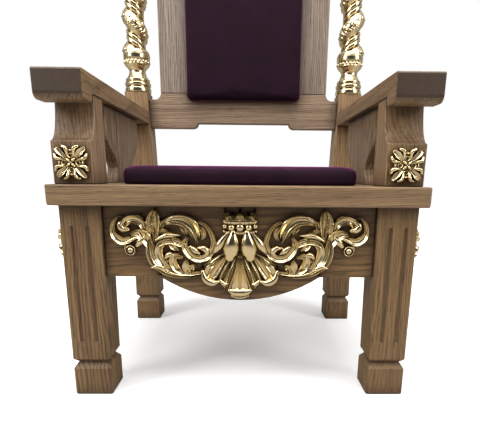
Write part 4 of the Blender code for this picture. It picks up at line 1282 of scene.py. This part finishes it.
def pale_floor():
    """A wide disc of pale, slightly uneven plaster, white to the camera further out."""
    radii = np.linspace(*FLOOR_RADII, FLOOR_RINGS)[:, None]
    angle = round_angles(FLOOR_POINTS)[None, :]
    grid = np.stack([radii * np.cos(angle), radii * np.sin(angle), 0 * radii * angle], -1)
    points = np.concatenate([grid.reshape(-1, 3), np.zeros((1, 3))])
    quads = ring_quads(FLOOR_RINGS, FLOOR_POINTS)[:, ::-1]
    around = np.arange(FLOOR_POINTS)
    centre = np.full(FLOOR_POINTS, FLOOR_RINGS * FLOOR_POINTS)
    middle = np.stack([centre, around, (around + 1) % FLOOR_POINTS], -1)
    mesh = bpy.data.meshes.new("floor")
    mesh.from_pydata(points.tolist(), [], quads.tolist() + middle.tolist())
    floor = bpy.data.objects.new("floor", mesh)
    bpy.context.scene.collection.objects.link(floor)
    material, tree, shader, place = new_material("pale floor")
    seen = tree.nodes.new("ShaderNodeLightPath").outputs["Is Camera Ray"]
    pale = mixed(tree, noise(tree, place, 3.0, 4.0), (0.92, 0.92, 0.92), (0.95, 0.95, 0.95))
    away = vector_math(tree, "LENGTH", place)["Value"]
    glow = map_range(tree, away, *GLOW_REACH, *GLOW_STRENGTH)
    set_inputs(tree, shader, {
        "Base Color": mixed(tree, seen, (0.42, 0.40, 0.37), pale),
        "Emission Color": (1.0, 1.0, 1.0, 1.0),
        "Emission Strength": math_node(tree, "MULTIPLY", seen, glow),
        "Roughness": 0.8,
        "Specular IOR Level": 0.2,
    })
    mesh.materials.append(material)


def photo_camera(settings):
    """A camera at the photograph's place. Its axes come from the turn, tilt and roll."""
    yaw, pitch, roll = (math.radians(x) for x in settings.camera_turn)
    forward = Vector((-math.sin(yaw) * math.cos(pitch), math.cos(yaw) * math.cos(pitch), -math.sin(pitch)))
    right = Vector((math.cos(yaw), math.sin(yaw), 0.0))
    up = right.cross(forward)
    rolled_right = math.cos(roll) * right + math.sin(roll) * up
    rolled_up = -math.sin(roll) * right + math.cos(roll) * up
    data = bpy.data.cameras.new("camera")
    data.lens = settings.lens
    data.sensor_width = 36.0
    data.sensor_fit = "HORIZONTAL"
    data.shift_x, data.shift_y = settings.shift
    data.dof.use_dof = False
    camera = bpy.data.objects.new("camera", data)
    axes = Matrix((rolled_right, rolled_up, -forward)).transposed().to_4x4()
    camera.matrix_world = Matrix.Translation(settings.camera_place) @ axes
    bpy.context.scene.collection.objects.link(camera)
    bpy.context.scene.camera = camera


class CHAIR_OT_stage(bpy.types.Operator):
    """Sets up the camera, the soft light and the pale floor"""

    bl_idname = "chair.stage"
    bl_label = "Stage"

    def execute(self, context):
        settings = context.scene.chair_stage
        photo_camera(settings)
        pale_floor()
        room_light()
        area_light("ceiling", (0.0, -0.6, 2.9), (0.0, 0.1, 0.4), (2.4, 1.6), 76.0)
        area_light("window left", (-2.2, -1.5, 2.0), (0.0, 0.0, 0.5), (0.9, 1.5), 44.0)
        area_light("window right", (2.3, -1.4, 1.7), (0.0, 0.0, 0.5), (0.8, 1.4), 30.0)
        context.scene.view_settings.view_transform = "Standard"
        return {"FINISHED"}


class CHAIR_PT_panel(bpy.types.Panel):
    """Lists the steps that dress the chair"""

    bl_idname = "CHAIR_PT_panel"
    bl_label = "Bishop chair"
    bl_space_type = "VIEW_3D"
    bl_region_type = "UI"
    bl_category = "Chair"

    def draw(self, context):
        for step in STEPS:
            self.layout.operator(step.bl_idname)


# The settings by their names in the scene, and the steps in their order
SETTINGS = {
    "chair_oak": OakSettings,
    "chair_gilt": GiltSettings,
    "chair_velvet": VelvetSettings,
    "chair_columns": ColumnSettings,
    "chair_cushions": CushionSettings,
    "chair_stage": StageSettings,
}
STEPS = (
    CHAIR_OT_stage,
    CHAIR_OT_oak,
    CHAIR_OT_columns,
    CHAIR_OT_rosettes,
    CHAIR_OT_ornament,
    CHAIR_OT_cushions,
)


def register():
    """Makes the settings, the operators and the panel known to Blender."""
    for group in SETTINGS.values():
        bpy.utils.register_class(group)
    for name, group in SETTINGS.items():
        setattr(bpy.types.Scene, name, bpy.props.PointerProperty(type=group))
    for step in (*STEPS, CHAIR_PT_panel):
        bpy.utils.register_class(step)


def unregister():
    """Takes them all away again, the last ones first."""
    for step in (CHAIR_PT_panel, *STEPS):
        bpy.utils.unregister_class(step)
    for name in SETTINGS:
        delattr(bpy.types.Scene, name)
    for group in SETTINGS.values():
        bpy.utils.unregister_class(group)


def main():
    """Dresses the chair step by step."""
    register()
    bpy.ops.chair.stage()
    bpy.ops.chair.oak()
    bpy.ops.chair.columns()
    bpy.ops.chair.rosettes()
    bpy.ops.chair.ornament()
    bpy.ops.chair.cushions()


if __name__ == "__main__":
    main()
